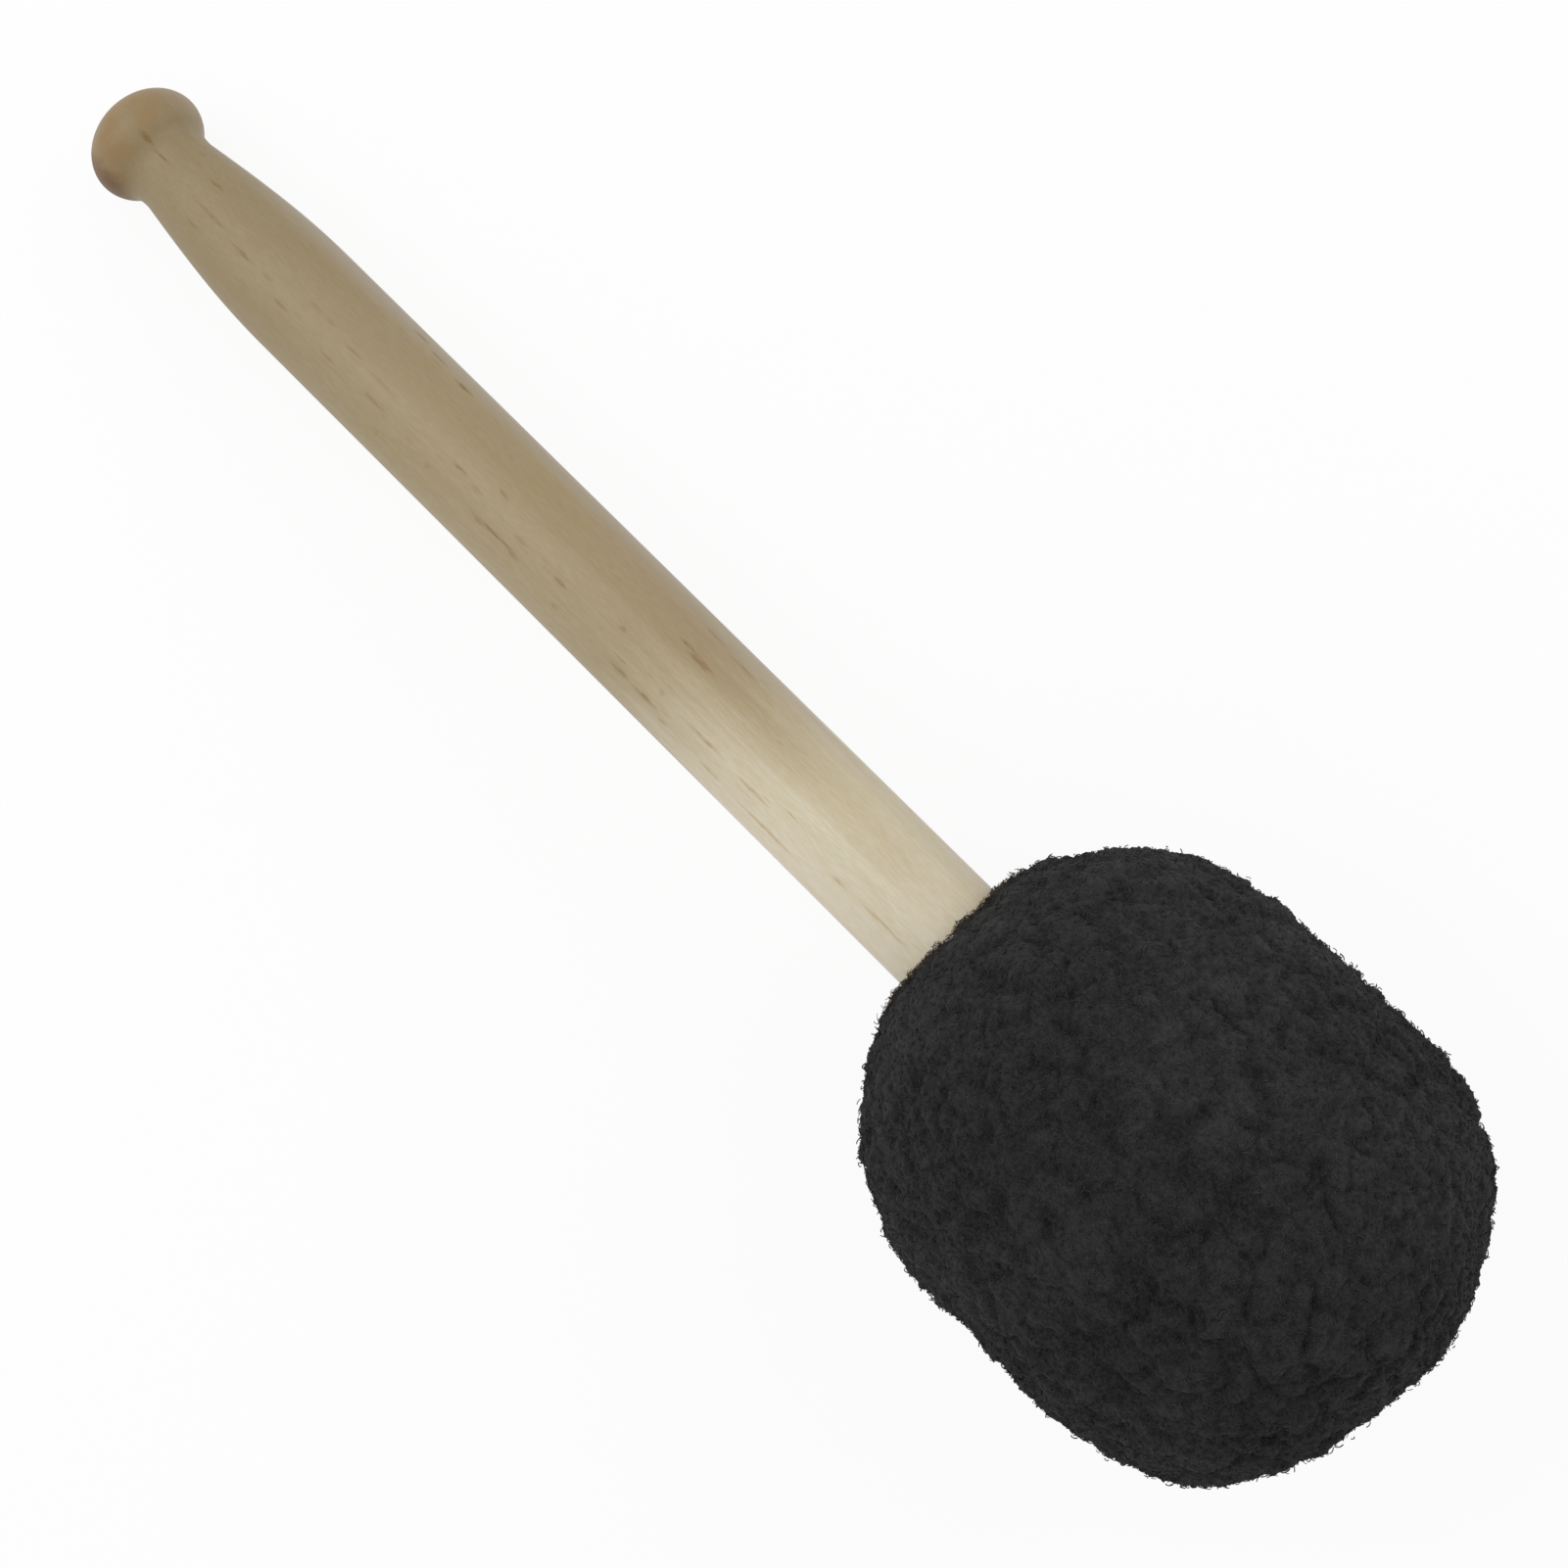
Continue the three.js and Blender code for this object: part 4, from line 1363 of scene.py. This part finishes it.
def add_lamp(name, power, place, size):
    """A broad square lamp that faces the mallet."""
    lamp = bpy.data.lights.new(name, "AREA")
    lamp.energy = power
    lamp.size = size
    obj = bpy.data.objects.new(name, lamp)
    obj.location = place
    obj.rotation_euler = (-place).to_track_quat("-Z", "Y").to_euler()
    bpy.context.scene.collection.objects.link(obj)


def add_camera(look):
    """The camera, set by where it stands from the knob's centre."""
    knob_half = bpy.context.scene.mallet_handle.knob_half
    top, axis = PLACE.col[0].xyz, PLACE.col[2].xyz
    along = axis * math.cos(look.eye_lean) - top * math.sin(look.eye_lean)
    up = axis * math.sin(look.eye_lean) + top * math.cos(look.eye_lean)
    across = up.cross(along)
    right = along * math.cos(look.roll) + across * math.sin(look.roll)
    place = Matrix((right, up.cross(right), up)).transposed().to_4x4()
    knob = PLACE.translation + axis * knob_half
    eye = along * look.eye_forward + up * look.eye_rise - across * look.eye_side
    place.translation = knob + eye
    camera = bpy.data.cameras.new("camera")
    camera.lens = look.lens / MM
    obj = bpy.data.objects.new("camera", camera)
    obj.matrix_world = place
    bpy.context.scene.collection.objects.link(obj)
    bpy.context.scene.camera = obj


STEPS = [
    MALLET_OT_stage, MALLET_OT_handle, MALLET_OT_core, MALLET_OT_felt, MALLET_OT_threads, MALLET_OT_cover,
]


class MALLET_PT_panel(bpy.types.Panel):
    """The mallet's pieces and its stage"""

    bl_idname = "MALLET_PT_panel"
    bl_label = "Bass Drum Mallet"
    bl_space_type = "VIEW_3D"
    bl_region_type = "UI"
    bl_category = "Mallet"

    def draw(self, context):
        for step in STEPS:
            self.layout.operator(step.bl_idname)


SETTINGS = {
    "mallet_handle": HandleSettings,
    "mallet_cover": CoverSettings,
    "mallet_felt": FeltSettings,
    "mallet_thread": ThreadSettings,
    "mallet_stage": StageSettings,
}
CLASSES = [*SETTINGS.values(), *STEPS, MALLET_PT_panel]


def register():
    """Makes the classes and the settings known to Blender."""
    for item in CLASSES:
        bpy.utils.register_class(item)
    for name, group in SETTINGS.items():
        setattr(bpy.types.Scene, name, bpy.props.PointerProperty(type=group))


def unregister():
    """Takes the settings and the classes away again."""
    for name in SETTINGS:
        delattr(bpy.types.Scene, name)
    for item in reversed(CLASSES):
        bpy.utils.unregister_class(item)


def main():
    """Makes every piece in order."""
    register()
    for step in STEPS:
        family, action = step.bl_idname.split(".")
        getattr(getattr(bpy.ops, family), action)()


if __name__ == "__main__":
    main()
